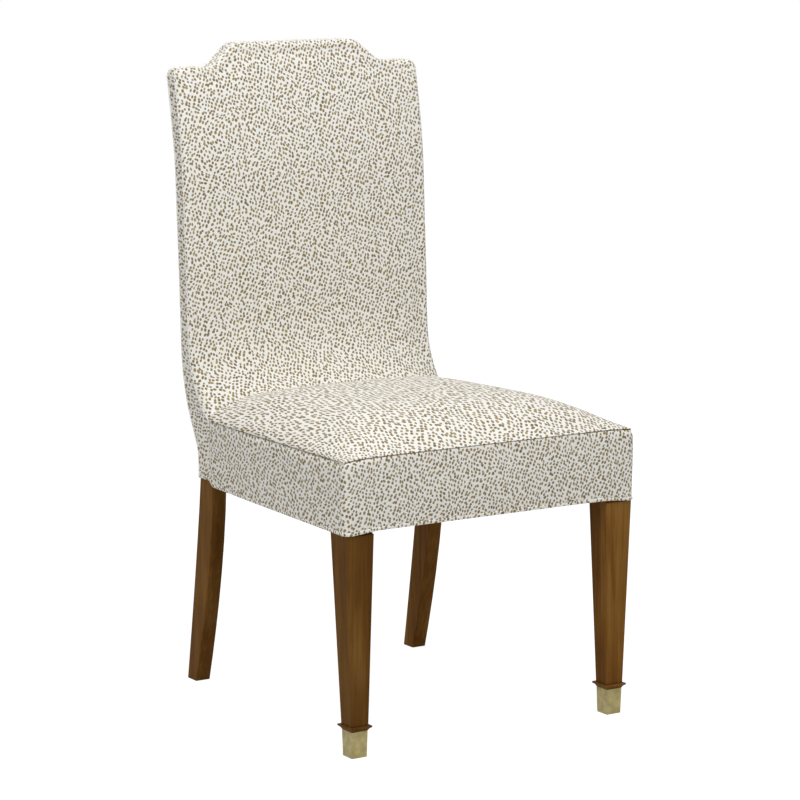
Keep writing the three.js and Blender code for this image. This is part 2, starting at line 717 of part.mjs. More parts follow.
function jointsOf(side) {
  const railCentreX = (depth) => (sideRailInnerX(depth) + sideRailOuterX(depth)) / 2;
  const boardMiddle = (z) => backRearDepth(z) - coreDepth - backBoardThickness / 2;
  const lowerMiddle = lowerBackRailBottomHeight + lowerBackRailHeight / 2;
  const postMiddleX = rearPostOuterX - rearPostWidth / 2;
  const railJoint = (x, y, direction, length = tenonLength) => ({
    point: new THREE.Vector3(x, y, railMiddleHeight),
    direction,
    up: upDirection,
    length,
    thickness: tenonThickness,
    height: tenonHeight,
  });
  const rearTenonDepth = rearRailRearDepth - railThickness / 2;
  const sideRearLength = rearTenonDepth - tenonThickness / 2 - tenonGap - rearLegTopFrontDepth;
  const sideRearX = side * railCentreX(sideRailRearDepth);
  return {
    front: railJoint(side * headInnerX, coreDepth + railThickness / 2, acrossDirection(side)),
    rear: railJoint(side * postInnerX, rearTenonDepth, acrossDirection(side)),
    sideFront: railJoint(side * railCentreX(headRearDepth), headRearDepth, forwardDirection),
    sideRear: railJoint(sideRearX, rearLegTopFrontDepth, backDirection, sideRearLength),
    lower: {
      point: new THREE.Vector3(side * postInnerX, boardMiddle(lowerMiddle), lowerMiddle),
      direction: acrossDirection(side),
      up: leanAt(lowerMiddle),
      length: tenonLength,
      thickness: tenonThickness,
      height: lowerTenonHeight,
    },
    crest: {
      point: new THREE.Vector3(side * postMiddleX, boardMiddle(crestRailBottomHeight), crestRailBottomHeight),
      direction: leanAt(crestRailBottomHeight),
      up: acrossDirection(1),
      length: tenonLength,
      thickness: crestTenonThickness,
      height: crestTenonWidth,
    },
  };
}

// Two screws hold each block, one into each rail.
function blockScrews(side, front) {
  const railFace = front ? frontRailRearDepth + screwSeatDepth : rearRailFrontDepth - screwSeatDepth;
  const offset = blockLeg * screwPlaceShare;
  const sideDepth = front ? headRearDepth + offset : rearLegTopFrontDepth - offset;
  const sideX = sideRailInnerX(sideDepth) - screwSeatDepth;
  const crossX = (front ? headInnerX : postInnerX) - blockLeg / 2;
  return [
    {
      point: new THREE.Vector3(side * crossX, railFace, blockMiddleHeight),
      direction: front ? forwardDirection : backDirection,
    },
    {
      point: new THREE.Vector3(side * sideX, sideDepth, blockMiddleHeight),
      direction: acrossDirection(side),
    },
  ];
}

// What each side of the chair holds

const sides = [{ side: -1, word: 'left' }, { side: 1, word: 'right' }];
const joints = { left: jointsOf(-1), right: jointsOf(1) };
const fixings = {
  left: { front: blockScrews(-1, true), rear: blockScrews(-1, false) },
  right: { front: blockScrews(1, true), rear: blockScrews(1, false) },
};
const pilotHole = (fixing) => screwCutters(fixing)[0];
const bothSides = (pick) => sides.map(({ word }) => pick(joints[word], fixings[word]));

// Frame nodes

for (const { side, word } of sides) {
  const own = joints[word];
  const screws = fixings[word];
  const legMortises = [own.front, own.sideFront].map(mortise);
  add(`front_leg_${word}`, shaped(frontLeg(side), [], legMortises), finishedWood);
  add(`leg_collar_${word}`, collar(), finishedWood)
    .position.set(side * frontFootX, frontFootDepth, ferruleHeight + clearance);
  add(`ferrule_${word}`, ferrule(), brass).position.set(side * frontFootX, frontFootDepth, 0);
  const postMortises = [own.rear, own.sideRear, own.lower].map(mortise);
  add(`rear_post_${word}`, shaped(rearPost(side), [tenon(own.crest)], postMortises), finishedWood);
  const sideTenons = [own.sideFront, own.sideRear].map(tenon);
  const sidePilots = [screws.front[1], screws.rear[1]].map(pilotHole);
  add(`side_rail_${word}`, shaped(sideRail(side), sideTenons, sidePilots), frameWood);
  for (const [end, plan] of [['front', frontBlockPlan], ['rear', rearBlockPlan]]) {
    const mirrored = plan.map(([x, y]) => [side * x, y]);
    const block = prism(mirrored, blockBottomHeight, blockHeight);
    add(`corner_block_${end}_${word}`, shaped(block, [], screws[end].flatMap(screwCutters)), frameWood);
    screws[end].forEach((fixing, k) => {
      add(`block_screw_${end}_${word}_${k + 1}`, placed(screw(), fixing.point, fixing.direction), steel);
    });
  }
}

const frontRail = crossRail(headInnerX - clearance, coreDepth, frontRailRearDepth, railBottomHeight);
const frontTenons = bothSides((own) => tenon(own.front));
const frontPilots = bothSides((own, screws) => pilotHole(screws.front[0]));
add('front_rail', shaped(frontRail, frontTenons, frontPilots), frameWood);
const rearRailBottomHeight = railBottomHeight + rearRailLift;
const rearRailHalf = postInnerX - clearance;
const rearRail = crossRail(rearRailHalf, rearRailFrontDepth, rearRailRearDepth, rearRailBottomHeight);
const rearTenons = bothSides((own) => tenon(own.rear));
const rearPilots = bothSides((own, screws) => pilotHole(screws.rear[0]));
add('rear_rail', shaped(rearRail, rearTenons, rearPilots), frameWood);
add('lower_back_rail', shaped(lowerBackRail(), bothSides((own) => tenon(own.lower)), []), frameWood);
add('crest_rail', shaped(crestRail(), [], bothSides((own) => mortise(own.crest))), frameWood);

// Webbing, which weaves over and under

// The middles of the seat's straps over a room that they fill from edge to edge.
function strapPlaces(start, end) {
  const pitch = (end - start - strapWidth) / (seatStrapCount - 1);
  return Array.from({ length: seatStrapCount }, (_, k) => start + strapWidth / 2 + k * pitch);
}

const strapReach = postInnerX - seatStrapSideInset;
const strapXs = strapPlaces(-strapReach, strapReach);
const strapDepths = strapPlaces(coreDepth + seatStrapFrontInset, rearRailRearDepth - seatStrapFrontInset);

// A strap's height over the rails at its ends and on both sides of each crossing.
function wovenLine(start, end, crossings, first) {
  const line = [[start, 0], [start + railThickness, 0]];
  crossings.forEach((crossing, k) => {
    const level = (k + first) % 2 === 0 ? strapWeave : -strapWeave;
    line.push([crossing - strapWidth / 2, level], [crossing + strapWidth / 2, level]);
  });
  line.push([end - railThickness, 0], [end, 0]);
  return line;
}

function strap(line, place, lengthwise) {
  const halves = [-strapWidth / 2, strapWidth / 2];
  const grid = (lift) => line.map(([run, level]) => halves.map((offset) => {
    const z = strapLevel + level + lift;
    return lengthwise
      ? new THREE.Vector3(place + offset, run, z)
      : new THREE.Vector3(run, place + offset, z);
  }));
  return between(grid(strapThickness / 2), grid(-strapThickness / 2));
}

for (let k = 0; k < seatStrapCount; k += 1) {
  const lengthwise = wovenLine(coreDepth + strapEndInset, rearRailRearDepth - strapEndInset, strapDepths, k);
  add(`seat_strap_lengthwise_${k + 1}`, strap(lengthwise, strapXs[k], true), webbing);
  const reach = sideRailOuterX(strapDepths[k] + strapWidth / 2) - strapEndInset;
  const crosswise = wovenLine(-reach, reach, strapXs, k + 1);
  add(`seat_strap_crosswise_${k + 1}`, strap(crosswise, strapDepths[k], false), webbing);
}

// A layer that lies at a depth behind the front of the back's sides.
function behindFront(half, bottom, top, depth, thickness) {
  const frontAt = (z) => edgeFrontDepth(z) + depth;
  return backPlate(half, bottom, top, frontAt, (z) => frontAt(z) + thickness);
}

for (let k = 0; k < backStrapCount; k += 1) {
  const bottom = backStrapBottomHeight + k * backStrapPitch;
  const reach = rearPostOuterX - strapEndInset;
  const top = bottom + strapWidth;
  add(`back_strap_${k + 1}`, behindFront(reach, bottom, top, backStrapDepth, strapThickness), webbing);
}

// Cloths over the webbing and under the seat

const deckRearDepth = rearLegTopFrontDepth - clothInset;
const deckPlan = [
  [-sideRailOuterX(coreDepth) + seatCornerRadius, coreDepth + clothInset],
  [sideRailOuterX(coreDepth) - seatCornerRadius, coreDepth + clothInset],
  [sideRailOuterX(deckRearDepth) - clothInset, deckRearDepth],
  [-sideRailOuterX(deckRearDepth) + clothInset, deckRearDepth],
];
add('seat_deck_cloth', prism(deckPlan, deckHeight, clothThickness), hessian);
const backClothHalfWidth = rearPostOuterX - backClothSideInset;
const backClothBottom = lowerBackRailTopHeight + backClothLift;
const backClothTop = shoulderHeight - backClothDrop;
const backCloth = behindFront(
  backClothHalfWidth, backClothBottom, backClothTop, backClothDepth, clothThickness);
add('back_cloth', backCloth, hessian);

const dustRightPlan = [
  [headInnerX - clearance, coreDepth + clothInset],
  [headInnerX - clearance, headRearDepth + clearance],
  [sideRailOuterX(headRearDepth) - clothInset, headRearDepth + clearance],
  [sideRailOuterX(sideRailRearDepth) - clothInset, sideRailRearDepth],
  [postInnerX - clearance, sideRailRearDepth],
  [postInnerX - clearance, rearRailRearDepth - clothInset],
];
const dustPlan = [...dustRightPlan, ...dustRightPlan.map(([x, y]) => [-x, y]).toReversed()];
add('dust_cover', prism(dustPlan, railBottomHeight - clearance - clothThickness, clothThickness), cambric);

// Foam and wadding

const foamTop = seatFace(coreDepth + clearance);
const foamBottom = foamTop.map((column) => column.map((p) => p.clone().setZ(seatFoamBottomHeight)));
add('seat_foam', between(foamTop, foamBottom), foam);
add('seat_wadding', between(seatFace(waddingDepth), seatFace(waddingDepth + waddingThickness)), wadding);

const backFoamRear = crestInset(coreDepth).map(({ x, z: top }) => insideRows(backHalfWidth, top).map((z) =>
  new THREE.Vector3(x, edgeFrontDepth(z) + backFoamDepth + backFoamThickness, z)));
add('back_foam', between(insideFace(backFoamDepth), backFoamRear), foam);

const outsideWaddingFace = (inset) => crestInset(backEdgeRadius).map(({ x, z: top }) =>
  [...outsideRows(top).slice(0, -edgeTurnShares.length), top].map((z) =>
    new THREE.Vector3(x, backRearDepth(z) - inset, z)));
add('outside_back_wadding',
  between(outsideWaddingFace(waddingDepth), outsideWaddingFace(waddingDepth + waddingThickness)), wadding);

// Edges of the back: side panels and the strip over the crest, with wadding under them

const turnedEdgeDepth = coverThickness + fullSetback * (1 - coverThickness / backEdgeRadius);
const edgeCover = {
  from: 0,
  thickness: coverThickness,
  frontInset: turnedEdgeDepth + edgeGap,
  rearInset: turnedEdgeDepth + edgeGap,
};
const edgeWadding = {
  from: waddingDepth,
  thickness: waddingThickness,
  frontInset: backClothDepth,
  rearInset: fullSetback + coreDepth - waddingDepth,
};
const sideTopHeight = shoulderHeight - backCornerRadius - clearance;

function sidePanel(side, layer) {
  const frontAt = (z) => (z < sideJunctionHeight
    ? seatTopDepth + seamGap
    : edgeFrontDepth(z) + layer.frontInset);
  const heights = [
    ...edgeHeights(panelBottomHeight, sideJunctionHeight - clearance),
    ...edgeHeights(sideJunctionHeight, sideTopHeight),
  ];
  const grid = (inset) => heights.map((z) => [frontAt(z), backRearDepth(z) - layer.rearInset].map((y) =>
    new THREE.Vector3(side * (backHalfWidth - inset), y, z)));
  return between(grid(layer.from), grid(layer.from + layer.thickness));
}

function crestStrip(layer) {
  const depthsAt = ({ z }) => [edgeFrontDepth(z) + layer.frontInset, backRearDepth(z) - layer.rearInset];
  const grid = (inset) => crestInset(inset).map((p, k) =>
    depthsAt(crest[k]).map((y) => new THREE.Vector3(p.x, y, p.z)));
  return between(grid(layer.from), grid(layer.from + layer.thickness));
}

for (const { side, word } of sides) {
  add(`side_panel_${word}`, sidePanel(side, edgeCover), fabric);
  add(`side_wadding_${word}`, sidePanel(side, edgeWadding), wadding);
}
add('crest_strip', crestStrip(edgeCover), fabric);
add('crest_wadding', crestStrip(edgeWadding), wadding);

// Covers

add('inside_back_cover', between(insideFace(0), insideFace(coverThickness)), fabric);
add('outside_back_cover', between(outsideFace(0), outsideFace(coverThickness)), fabric);
add('seat_cover', between(seatFace(0), seatFace(coverThickness)), fabric);

const borderPath = seatPath(seatTopDepth - clearance);
const hemTop = (p) => hemHeight(p) + hemBandHeight;
const borderBottom = (p) => hemTop(p) + clearance;
const borderTop = (p) => seamHeight(p.y) - clearance;
add('seat_border',
  wall(borderPath, borderUpShares, borderBottom, borderTop, bulge, 0, coverThickness), fabric);
add('border_wadding',
  wall(borderPath, borderUpShares, borderBottom, borderTop, bulge, waddingDepth, waddingThickness), wadding);
const bandThickness = hemBandProud + coverThickness;
add('hem_band',
  wall(borderPath, stripShares, hemHeight, hemTop, () => 0, -hemBandProud, bandThickness), fabric);

// The path of the rear band, from the front of its left side round the rear to the front of its right side.
function rearPath() {
  const radius = backEdgeRadius;
  const rear = backRearDepth(rearHemHeight);
  const right = [{ x: backHalfWidth, y: seatTopDepth + clearance, outX: 1, outY: 0 }];
  for (const turnShare of cornerTurnShares) {
    const angle = turnShare * Math.PI / 2;
    right.push({
      x: backHalfWidth - radius + radius * Math.cos(angle),
      y: rear - radius + radius * Math.sin(angle),
      outX: Math.cos(angle),
      outY: Math.sin(angle),
    });
  }
  return [...right.map((p) => ({ ...p, x: -p.x, outX: -p.outX })), ...right.toReversed()];
}

const rearBand = [() => rearHemHeight, () => rearBandTopHeight, () => 0];
add('rear_hem_band',
  wall(rearPath(), stripShares, ...rearBand, -hemBandProud, bandThickness), fabric);

const box = new THREE.Box3().setFromObject(chair);
chair.position.y = -(box.min.y + box.max.y) / 2;

export default chair;
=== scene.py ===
import math

import bmesh
import bpy
import numpy as np
from mathutils import Matrix, Vector


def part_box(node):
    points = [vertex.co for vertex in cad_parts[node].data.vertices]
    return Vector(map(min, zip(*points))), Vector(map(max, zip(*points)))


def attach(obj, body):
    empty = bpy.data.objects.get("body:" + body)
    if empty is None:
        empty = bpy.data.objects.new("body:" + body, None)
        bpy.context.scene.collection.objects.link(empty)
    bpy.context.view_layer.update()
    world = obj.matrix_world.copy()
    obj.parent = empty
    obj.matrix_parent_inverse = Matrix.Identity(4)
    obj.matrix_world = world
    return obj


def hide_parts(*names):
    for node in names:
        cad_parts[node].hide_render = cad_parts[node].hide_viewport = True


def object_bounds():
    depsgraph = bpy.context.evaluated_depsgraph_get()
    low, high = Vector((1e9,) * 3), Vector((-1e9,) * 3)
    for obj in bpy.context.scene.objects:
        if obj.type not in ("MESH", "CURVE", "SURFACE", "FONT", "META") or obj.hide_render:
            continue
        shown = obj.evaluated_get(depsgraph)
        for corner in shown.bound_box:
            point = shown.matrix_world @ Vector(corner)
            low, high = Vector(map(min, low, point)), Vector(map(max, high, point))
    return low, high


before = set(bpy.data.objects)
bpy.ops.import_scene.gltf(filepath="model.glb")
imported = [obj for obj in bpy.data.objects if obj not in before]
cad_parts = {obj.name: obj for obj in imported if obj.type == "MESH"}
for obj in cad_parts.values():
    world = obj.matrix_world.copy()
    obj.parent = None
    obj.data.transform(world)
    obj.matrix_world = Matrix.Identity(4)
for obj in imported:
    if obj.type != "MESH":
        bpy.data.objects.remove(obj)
cad_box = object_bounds()

# Sizes of the outside, in millimetres. Depths run back from the front of the seat.
MM = 0.001
SEAT_FRONT_HALF_WIDTH = 263.7
SEAT_REAR_HALF_WIDTH = 229.7
SEAT_TOP_DEPTH = 478
SEAT_REAR_DEPTH = 519.5
HEM_FRONT_HEIGHT = 348.5
HEM_CORNER_HEIGHT = 344.6
HEM_SIDE_REAR_HEIGHT = 338.8
REAR_HEM_HEIGHT = 347
SEAM_FRONT_HEIGHT = 456.5
SEAM_REAR_HEIGHT = 446
CROWN_RISE = 51.5
CROWN_RUN = 300
CROWN_FALL_DEPTH = 340
CROWN_REAR_FALL = 17.3
RIM_RISE = 4.5
RIM_RUN = 12
BACK_HALF_WIDTH = 229.5
BACK_THICKNESS = 37
BACK_RAKE = 104.5
SHOULDER_HEIGHT = 1004
CREST_HEIGHT = 1041
CREST_CENTRE_HALF_WIDTH = 107
CREST_SWEEP_HALF_WIDTH = 165
FRONT_BULGE = 2.5
SEAT_CORNER_RADIUS = 10
BACK_CORNER_RADIUS = 15
BACK_EDGE_RADIUS = 9
HEM_BAND_HEIGHT = 5.5
HEM_BAND_PROUD = 1.5
HEM_BAND_THICKNESS = 3.1
HEM_BAND_RADIUS = 1.0
SIDE_BULGE = 3.0
SIDE_BULGE_RISE = 16
SIDE_BULGE_RUN = 160
HEM_CORNER_RUN = 45
HEM_STEP_RUN = 14
BACK_CROWN = 3
COVE_HEIGHT = 150
SEAT_CORNER_X = SEAT_FRONT_HALF_WIDTH - SEAT_CORNER_RADIUS
BACK_CORNER_X = BACK_HALF_WIDTH - BACK_CORNER_RADIUS
BACK_CORNER_HEIGHT = SHOULDER_HEIGHT - BACK_CORNER_RADIUS

# Sizes of the cloth and its seams
CLOTH_THICKNESS = 1.2
CLOTH_LEVEL = 700
PANEL_GAP = 0.3
PANEL_ROLL = 2
PANEL_DEPTH = 2
ROLL_ANGLES = (30, 60, 90)
SEAM_ROLL = 1.3
SEAM_DEPTH = 3.2
SEAM_GAP = 0.25
SEAM_LIFT = SEAM_ROLL + SEAM_GAP
SEAM_LIFT_RUN = 4 * SEAM_LIFT
SEAM_SHIFT_FRONT = 2.8
SEAM_SHIFT_SIDE = -2.2
SEAM_CORNER_DIP = 3.0
SEAM_CORNER_RUN = 60
SEAM_TUCK_FRONT = 0.4
SEAM_TUCK_SIDE = 1.6
SEAM_TUCK_RUN = 5
SEAM_TUCK_TURN = 30
SEAM_LINE_DEPTH = 6.6
TUCK_ROLL = 1.5
TUCK_DEPTH = 5
TUCK_TOLERANCE = 0.5
FOOT_DROP = 5.5
FOOT_GAP = 0.6
FOOT_INSET = 3
FOOT_TOLERANCE = 0.3
EDGE_TOLERANCE = 0.1
HEM_OVERLAP = 0.4
BACK_HEM_OVERLAP = 0.6
BACK_PANEL_FOOT = REAR_HEM_HEIGHT + HEM_BAND_HEIGHT - BACK_HEM_OVERLAP
SIDE_PUFF = 0.5
SIDE_SEAM_GAP = 0.8
SIDE_SEAM_BLEND = 3.0
CREASE_HEIGHT = 430
CREASE_SLOPE = 0.35
CREASE_DEPTH = 1.1
CREASE_HALF_HEIGHT = 2.6
CREASE_INSET = 12
STITCH_RADIUS = 1.3
STITCH_LENGTH = 4.2
STITCH_PITCH = 5.6
STITCH_FOOT = 0.5

# How the padded panels are blown up over their filling
PAD_CAP = 2.5
PAD_FRAMES = 20
PAD_GRID = 37
PAD_DEPTH = 30

# Slow waves in the cloth: how many, how long in metres, and the shares of a panel over which they fade out
RIPPLE_COUNT = 7
RIPPLE_LENGTHS = (0.07, 0.2)
FADE_EDGES = (0.12, 0.12)
BORDER_FADE_EDGES = (0.03, 0.3)

# Edges of the rigid parts and soft layers: angles in degrees, widths in millimetres
EASED_ANGLE = 25
SOFT_ANGLE = 50
SMOOTH_ANGLE = 38
WEBBING_EDGE = 0.3
CLOTH_EDGE = 0.2

# How far the cloth's pattern is spread out across the seat, along it from its front, and along its sides
SEAT_SPREAD_MIDDLE = 1.25
SEAT_SPREAD_SIDE = 0.85
SEAT_SPREAD_SIDE_START = 0.45
SEAT_SPREAD_FRONT = 1.0
SEAT_SPREAD_REAR = 2.2
SEAT_SPREAD_RUN = 170
BORDER_SPREAD = 0.95
SIDE_SPREAD = 1.56
BACK_SIDE_SPREAD = 1.5

# The place in the pattern where each piece of cloth is cut, in metres
CLOTH_ORIGINS = {
    "seat_top_panel": (0.11, 0.23),
    "seat_border_panel": (0.61, 0.07),
    "hem_band_front_and_sides": (0.17, 0.61),
    "hem_band_rear": (0.37, 0.93),
    "inside_back_panel": (1.31, 0.83),
    "outside_back_panel": (2.47, 1.91),
    "side_panel_cover_left": (-0.43, 2.3),
    "side_panel_cover_right": (1.37, 2.3),
    "crest_strip_cover": (3.1, 0.4),
}

# Shapes, as shares of the sizes that they follow
CROWN_ACROSS_POWER = 5
CROWN_ALONG_POWER = 5.4
COVE_POWER = 3
EDGE_REACH_SHARE = 0.94
HEM_BULGE_SHARE = 0.55
SIDE_BULGE_FRONT_SHARE = 0.5
BACK_ROW_BUNCHING = 0.85
BACK_PROFILE_SHARES = [
    (0, 0), (0.07, 0.048), (0.108, 0.167), (0.151, 0.311), (0.208, 0.44), (0.265, 0.512), (0.331, 0.539),
    (0.445, 0.569), (0.597, 0.622), (0.739, 0.679), (0.823, 0.761), (0.88, 0.833), (1, 1),
]
CREST_SWEEP_SHARES = [(0, 1), (0.16, 0.94), (0.52, 0.5), (0.84, 0.09), (1, 0)]
STITCH_SHARES = ((-0.5, 0.25), (-0.42, 0.75), (-0.2, 1.0), (0.2, 1.0), (0.42, 0.75), (0.5, 0.25))

# Counts of the lines that the meshes are made of, and the step along the seat's outline
CREST_CORNER_STEPS = 14
CREST_SWEEP_STEPS = 40
CREST_SHOULDER_STEPS = 12
CREST_MIDDLE_STEPS = 24
SEAT_CORNER_STEPS = 13
REAR_SIDE_STEPS = 10
REAR_CORNER_STEPS = 9
REAR_STEPS = 56
PATH_STEP = 4.0
SEAT_LINES = 121
BORDER_LINES = 33
BACK_LINES = 150
BACK_EDGE_LINES = 15
BACK_MIDDLE_LINES = 99
BACK_ARC_STEPS = 120
STRIP_LINES = 190
STRIP_COLUMNS = 13
STITCH_SIDES = 8

# The camera, the lamps and the light of the floor and world, in metres and watts
CAMERA_PLACE = (-2.6650, -4.2577, 1.3330)
CAMERA_TARGET = (-0.0001, -0.0429, 0.4887)
CAMERA_LENS = 143.316
LAMP_TARGET = (0, 0, 0.5)
LAMPS = (
    ("key", (-0.35, -1.25, 2.3), 1.6, 21.8),
    ("top", (0.0, 0.0, 4.0), 2.6, 25),
    ("left", (-3.2, -1.0, 2.0), 2.2, 15),
)
FLOOR_REACH = 9.0
FLOOR_LIT = 0.7
FLOOR_FAINT = 0.3
FLOOR_GLOW = 0.93
WORLD_LIT = 0.42

FRONT_Y = cad_box[0].y + FRONT_BULGE * MM
COLLECTION = bpy.context.scene.collection


# The camera, at the photograph's viewing angle
def aim(made, location, target):
    """Places a camera or lamp in the scene, turned towards a target."""
    made.location = location
    made.rotation_mode = "QUATERNION"
    made.rotation_quaternion = (Vector(target) - made.location).to_track_quat("-Z", "Y")
    COLLECTION.objects.link(made)


def make_camera():
    data = bpy.data.cameras.new("camera")
    data.lens = CAMERA_LENS
    data.sensor_width = 36
    data.clip_end = 100
    camera = bpy.data.objects.new("camera", data)
    aim(camera, CAMERA_PLACE, CAMERA_TARGET)
    bpy.context.scene.camera = camera


# Sizes along the outer surface
def share(value, low, high):
    return np.clip((value - low) / (high - low), 0, 1)


def lerp(a, b, t):
    return a + (b - a) * t


def along(table, position):
    """A smooth curve through the points of a table."""
    places, values = np.array(table, float).T
    position = np.asarray(position, float)
    slopes = np.gradient(values, places)
    k = np.clip(np.searchsorted(places, position) - 1, 0, len(places) - 2)
    run = places[k + 1] - places[k]
    t = np.clip((position - places[k]) / run, 0, 1)
    rise = values[k + 1] - values[k]
    start = slopes[k] * run - rise
    end = -slopes[k + 1] * run + rise
    return values[k] + t * rise + t * (1 - t) * (start * (1 - t) + end * t)


def rounded(off, power):
    return np.maximum(1 - np.clip(off, 0, 1) ** power, 0) ** (1 / power)


def seat_half_width(depth):
    return lerp(SEAT_FRONT_HALF_WIDTH, SEAT_REAR_HALF_WIDTH, depth / SEAT_TOP_DEPTH)


def seam_height(depth):
    return lerp(SEAM_FRONT_HEIGHT, SEAM_REAR_HEIGHT, depth / SEAT_TOP_DEPTH)


def seam_shift(x, depth):
    """How far the visible seam lies above its plain line. It dips at the front corners."""
    corner = 1 - share(seat_half_width(depth) - np.abs(x) + depth, 0, SEAM_CORNER_RUN)
    shift = lerp(SEAM_SHIFT_FRONT, SEAM_SHIFT_SIDE, share(depth, 0, SEAT_CORNER_RADIUS))
    return shift - SEAM_CORNER_DIP * corner**2


def seat_top_height(across, depth, run):
    """The seat's crown over its seam, which rises quickly at its rim and then slowly."""
    forward = 1 - (1 - share(run, 0, CROWN_RUN)) ** CROWN_ALONG_POWER
    rearward = share(depth, CROWN_FALL_DEPTH, SEAT_TOP_DEPTH) ** 2
    crown = (1 - np.abs(across) ** CROWN_ACROSS_POWER) * (CROWN_RISE * forward - CROWN_REAR_FALL * rearward)
    side_rim = rounded(1 - share((1 - np.abs(across)) * seat_half_width(depth), 0, RIM_RUN), 2)
    front_rim = rounded(1 - share(run, 0, RIM_RUN), 2)
    return seam_height(depth) + crown + RIM_RISE * side_rim * front_rim


def hem_height(x, depth, front_share):
    """The hem dips at the front corners, falls towards the rear and steps up at the rear posts."""
    front = lerp(HEM_CORNER_HEIGHT, HEM_FRONT_HEIGHT, share(SEAT_CORNER_X - np.abs(x), 0, HEM_CORNER_RUN))
    step_depth = SEAT_TOP_DEPTH - HEM_STEP_RUN
    side = lerp(HEM_CORNER_HEIGHT, HEM_SIDE_REAR_HEIGHT, share(depth, 0, step_depth))
    side = lerp(side, REAR_HEM_HEIGHT, share(depth, step_depth, SEAT_TOP_DEPTH))
    return np.where(front_share > 0, front, side)


def back_rear_depth(z):
    return SEAT_REAR_DEPTH + BACK_RAKE * along(BACK_PROFILE_SHARES, share(z, REAR_HEM_HEIGHT, CREST_HEIGHT))


def junction_height(x):
    return seat_top_height(x / BACK_HALF_WIDTH, SEAT_TOP_DEPTH, SEAT_TOP_DEPTH)


def inside_back_depth(x, z):
    foot = junction_height(x)
    reach = back_rear_depth(foot) - BACK_THICKNESS - SEAT_TOP_DEPTH
    cove = reach * (1 - share(z, foot, foot + COVE_HEIGHT)) ** COVE_POWER
    fullness = (1 - (x / BACK_HALF_WIDTH) ** 2) * np.sin(np.pi * share(z, foot, CREST_HEIGHT))
    return back_rear_depth(z) - BACK_THICKNESS - cove - BACK_CROWN * fullness


def mirrored(right, signs):
    """A line from left to right, made from its right half, which runs from the outside to the middle."""
    return np.concatenate([right[:-1] * signs, right[::-1]])


def as_columns(*values):
    """A table with a column for each value, which may be one number for all rows."""
    return np.stack(np.broadcast_arrays(*values), 1).astype(float)


def quarter_turn(count):
    turn = np.linspace(0, math.pi / 2, count)
    return np.cos(turn), np.sin(turn)


def crest_outline():
    """The crest's outline from the left shoulder to the right one, in small steps."""
    cos, sin = quarter_turn(CREST_CORNER_STEPS)
    radius = BACK_CORNER_RADIUS
    corner = as_columns(BACK_CORNER_X + radius * cos, BACK_CORNER_HEIGHT + radius * sin)
    x = np.linspace(BACK_CORNER_X, CREST_SWEEP_HALF_WIDTH, CREST_SHOULDER_STEPS)[1:-1]
    shoulder = as_columns(x, SHOULDER_HEIGHT)
    out = np.linspace(1, 0, CREST_SWEEP_STEPS)
    x = lerp(CREST_CENTRE_HALF_WIDTH, CREST_SWEEP_HALF_WIDTH, out)
    sweep = as_columns(x, lerp(SHOULDER_HEIGHT, CREST_HEIGHT, along(CREST_SWEEP_SHARES, out)))
    middle = as_columns(np.linspace(CREST_CENTRE_HALF_WIDTH, 0, CREST_MIDDLE_STEPS)[1:], CREST_HEIGHT)
    return mirrored(np.concatenate([corner, shoulder, sweep, middle]), (-1, 1))


CREST = crest_outline()


def outline_distance(x, z):
    """How far a point of the back lies inside its outline, over the crest and down both sides."""
    path = np.concatenate([[(-BACK_HALF_WIDTH, 0)], CREST, [(BACK_HALF_WIDTH, 0)]])
    at = np.stack([x, z], -1)[..., None, :]
    run = path[1:] - path[:-1]
    t = np.clip(((at - path[:-1]) * run).sum(-1) / (run * run).sum(-1), 0, 1)
    near = path[:-1] + t[..., None] * run
    return np.sqrt(((at - near) ** 2).sum(-1)).min(-1)


def setback(inward):
    """How far the rounded edge of the back is set back at a distance inside its outline."""
    turn = EDGE_REACH_SHARE * (1 - share(inward, 0, BACK_EDGE_RADIUS))
    return BACK_EDGE_RADIUS * (1 - np.sqrt(1 - turn**2))


def front_seam_depth(z):
    return inside_back_depth(BACK_HALF_WIDTH, z) + SEAM_LINE_DEPTH


def rear_seam_depth(z):
    return back_rear_depth(z) - SEAM_LINE_DEPTH


def side_seam_depth(z):
    """The front seam of the back's sides runs along the seat up to the junction, and then along the back."""
    junction = junction_height(BACK_HALF_WIDTH)
    upper = front_seam_depth(np.maximum(z, junction))
    return lerp(SEAT_TOP_DEPTH + SIDE_SEAM_GAP, upper, 1 / (1 + np.exp((junction - z) / SIDE_SEAM_BLEND)))


# Points, lines and meshes
def place(x, depth, z):
    """Points in the frame's metres."""
    x, depth, z = np.broadcast_arrays(x, depth, z)
    return np.stack([x * MM, depth * MM + FRONT_Y, z * MM], -1)


def steps(points, axis):
    """How far it is from each point to the next."""
    return np.linalg.norm(np.diff(points, axis=axis), axis=-1)


def distances(line):
    """How far along a line each of its points lies."""
    return np.concatenate([[0], np.cumsum(steps(line, 0))])


def resampled(line, count):
    """Points along a line at an even pitch, with the way that the line runs at each."""
    sums = distances(line)
    at = np.linspace(0, sums[-1], count)
    even = np.stack([np.interp(at, sums, values) for values in line.T], 1)
    run = np.gradient(even, axis=0)
    return even, run / np.linalg.norm(run, axis=1)[:, None]


def between(values):
    """The values half way between neighbours, one for each cell of a grid."""
    return (values[1:] + values[:-1]) / 2


def lengths(points, axis, spread):
    """Distances along the lines of a grid, measured from the middle of each, over a spread."""
    runs = steps(points, axis) / spread
    sums = np.concatenate([np.zeros_like(np.take(runs, [0], axis)), np.cumsum(runs, axis)], axis)
    middle = sums.shape[axis] // 2
    return sums - np.take(sums, [middle], axis)


def quads(index):
    """The four corners of each cell of a grid of numbers."""
    return np.stack([index[:-1, :-1], index[1:, :-1], index[1:, 1:], index[:-1, 1:]], -1).reshape(-1, 4)


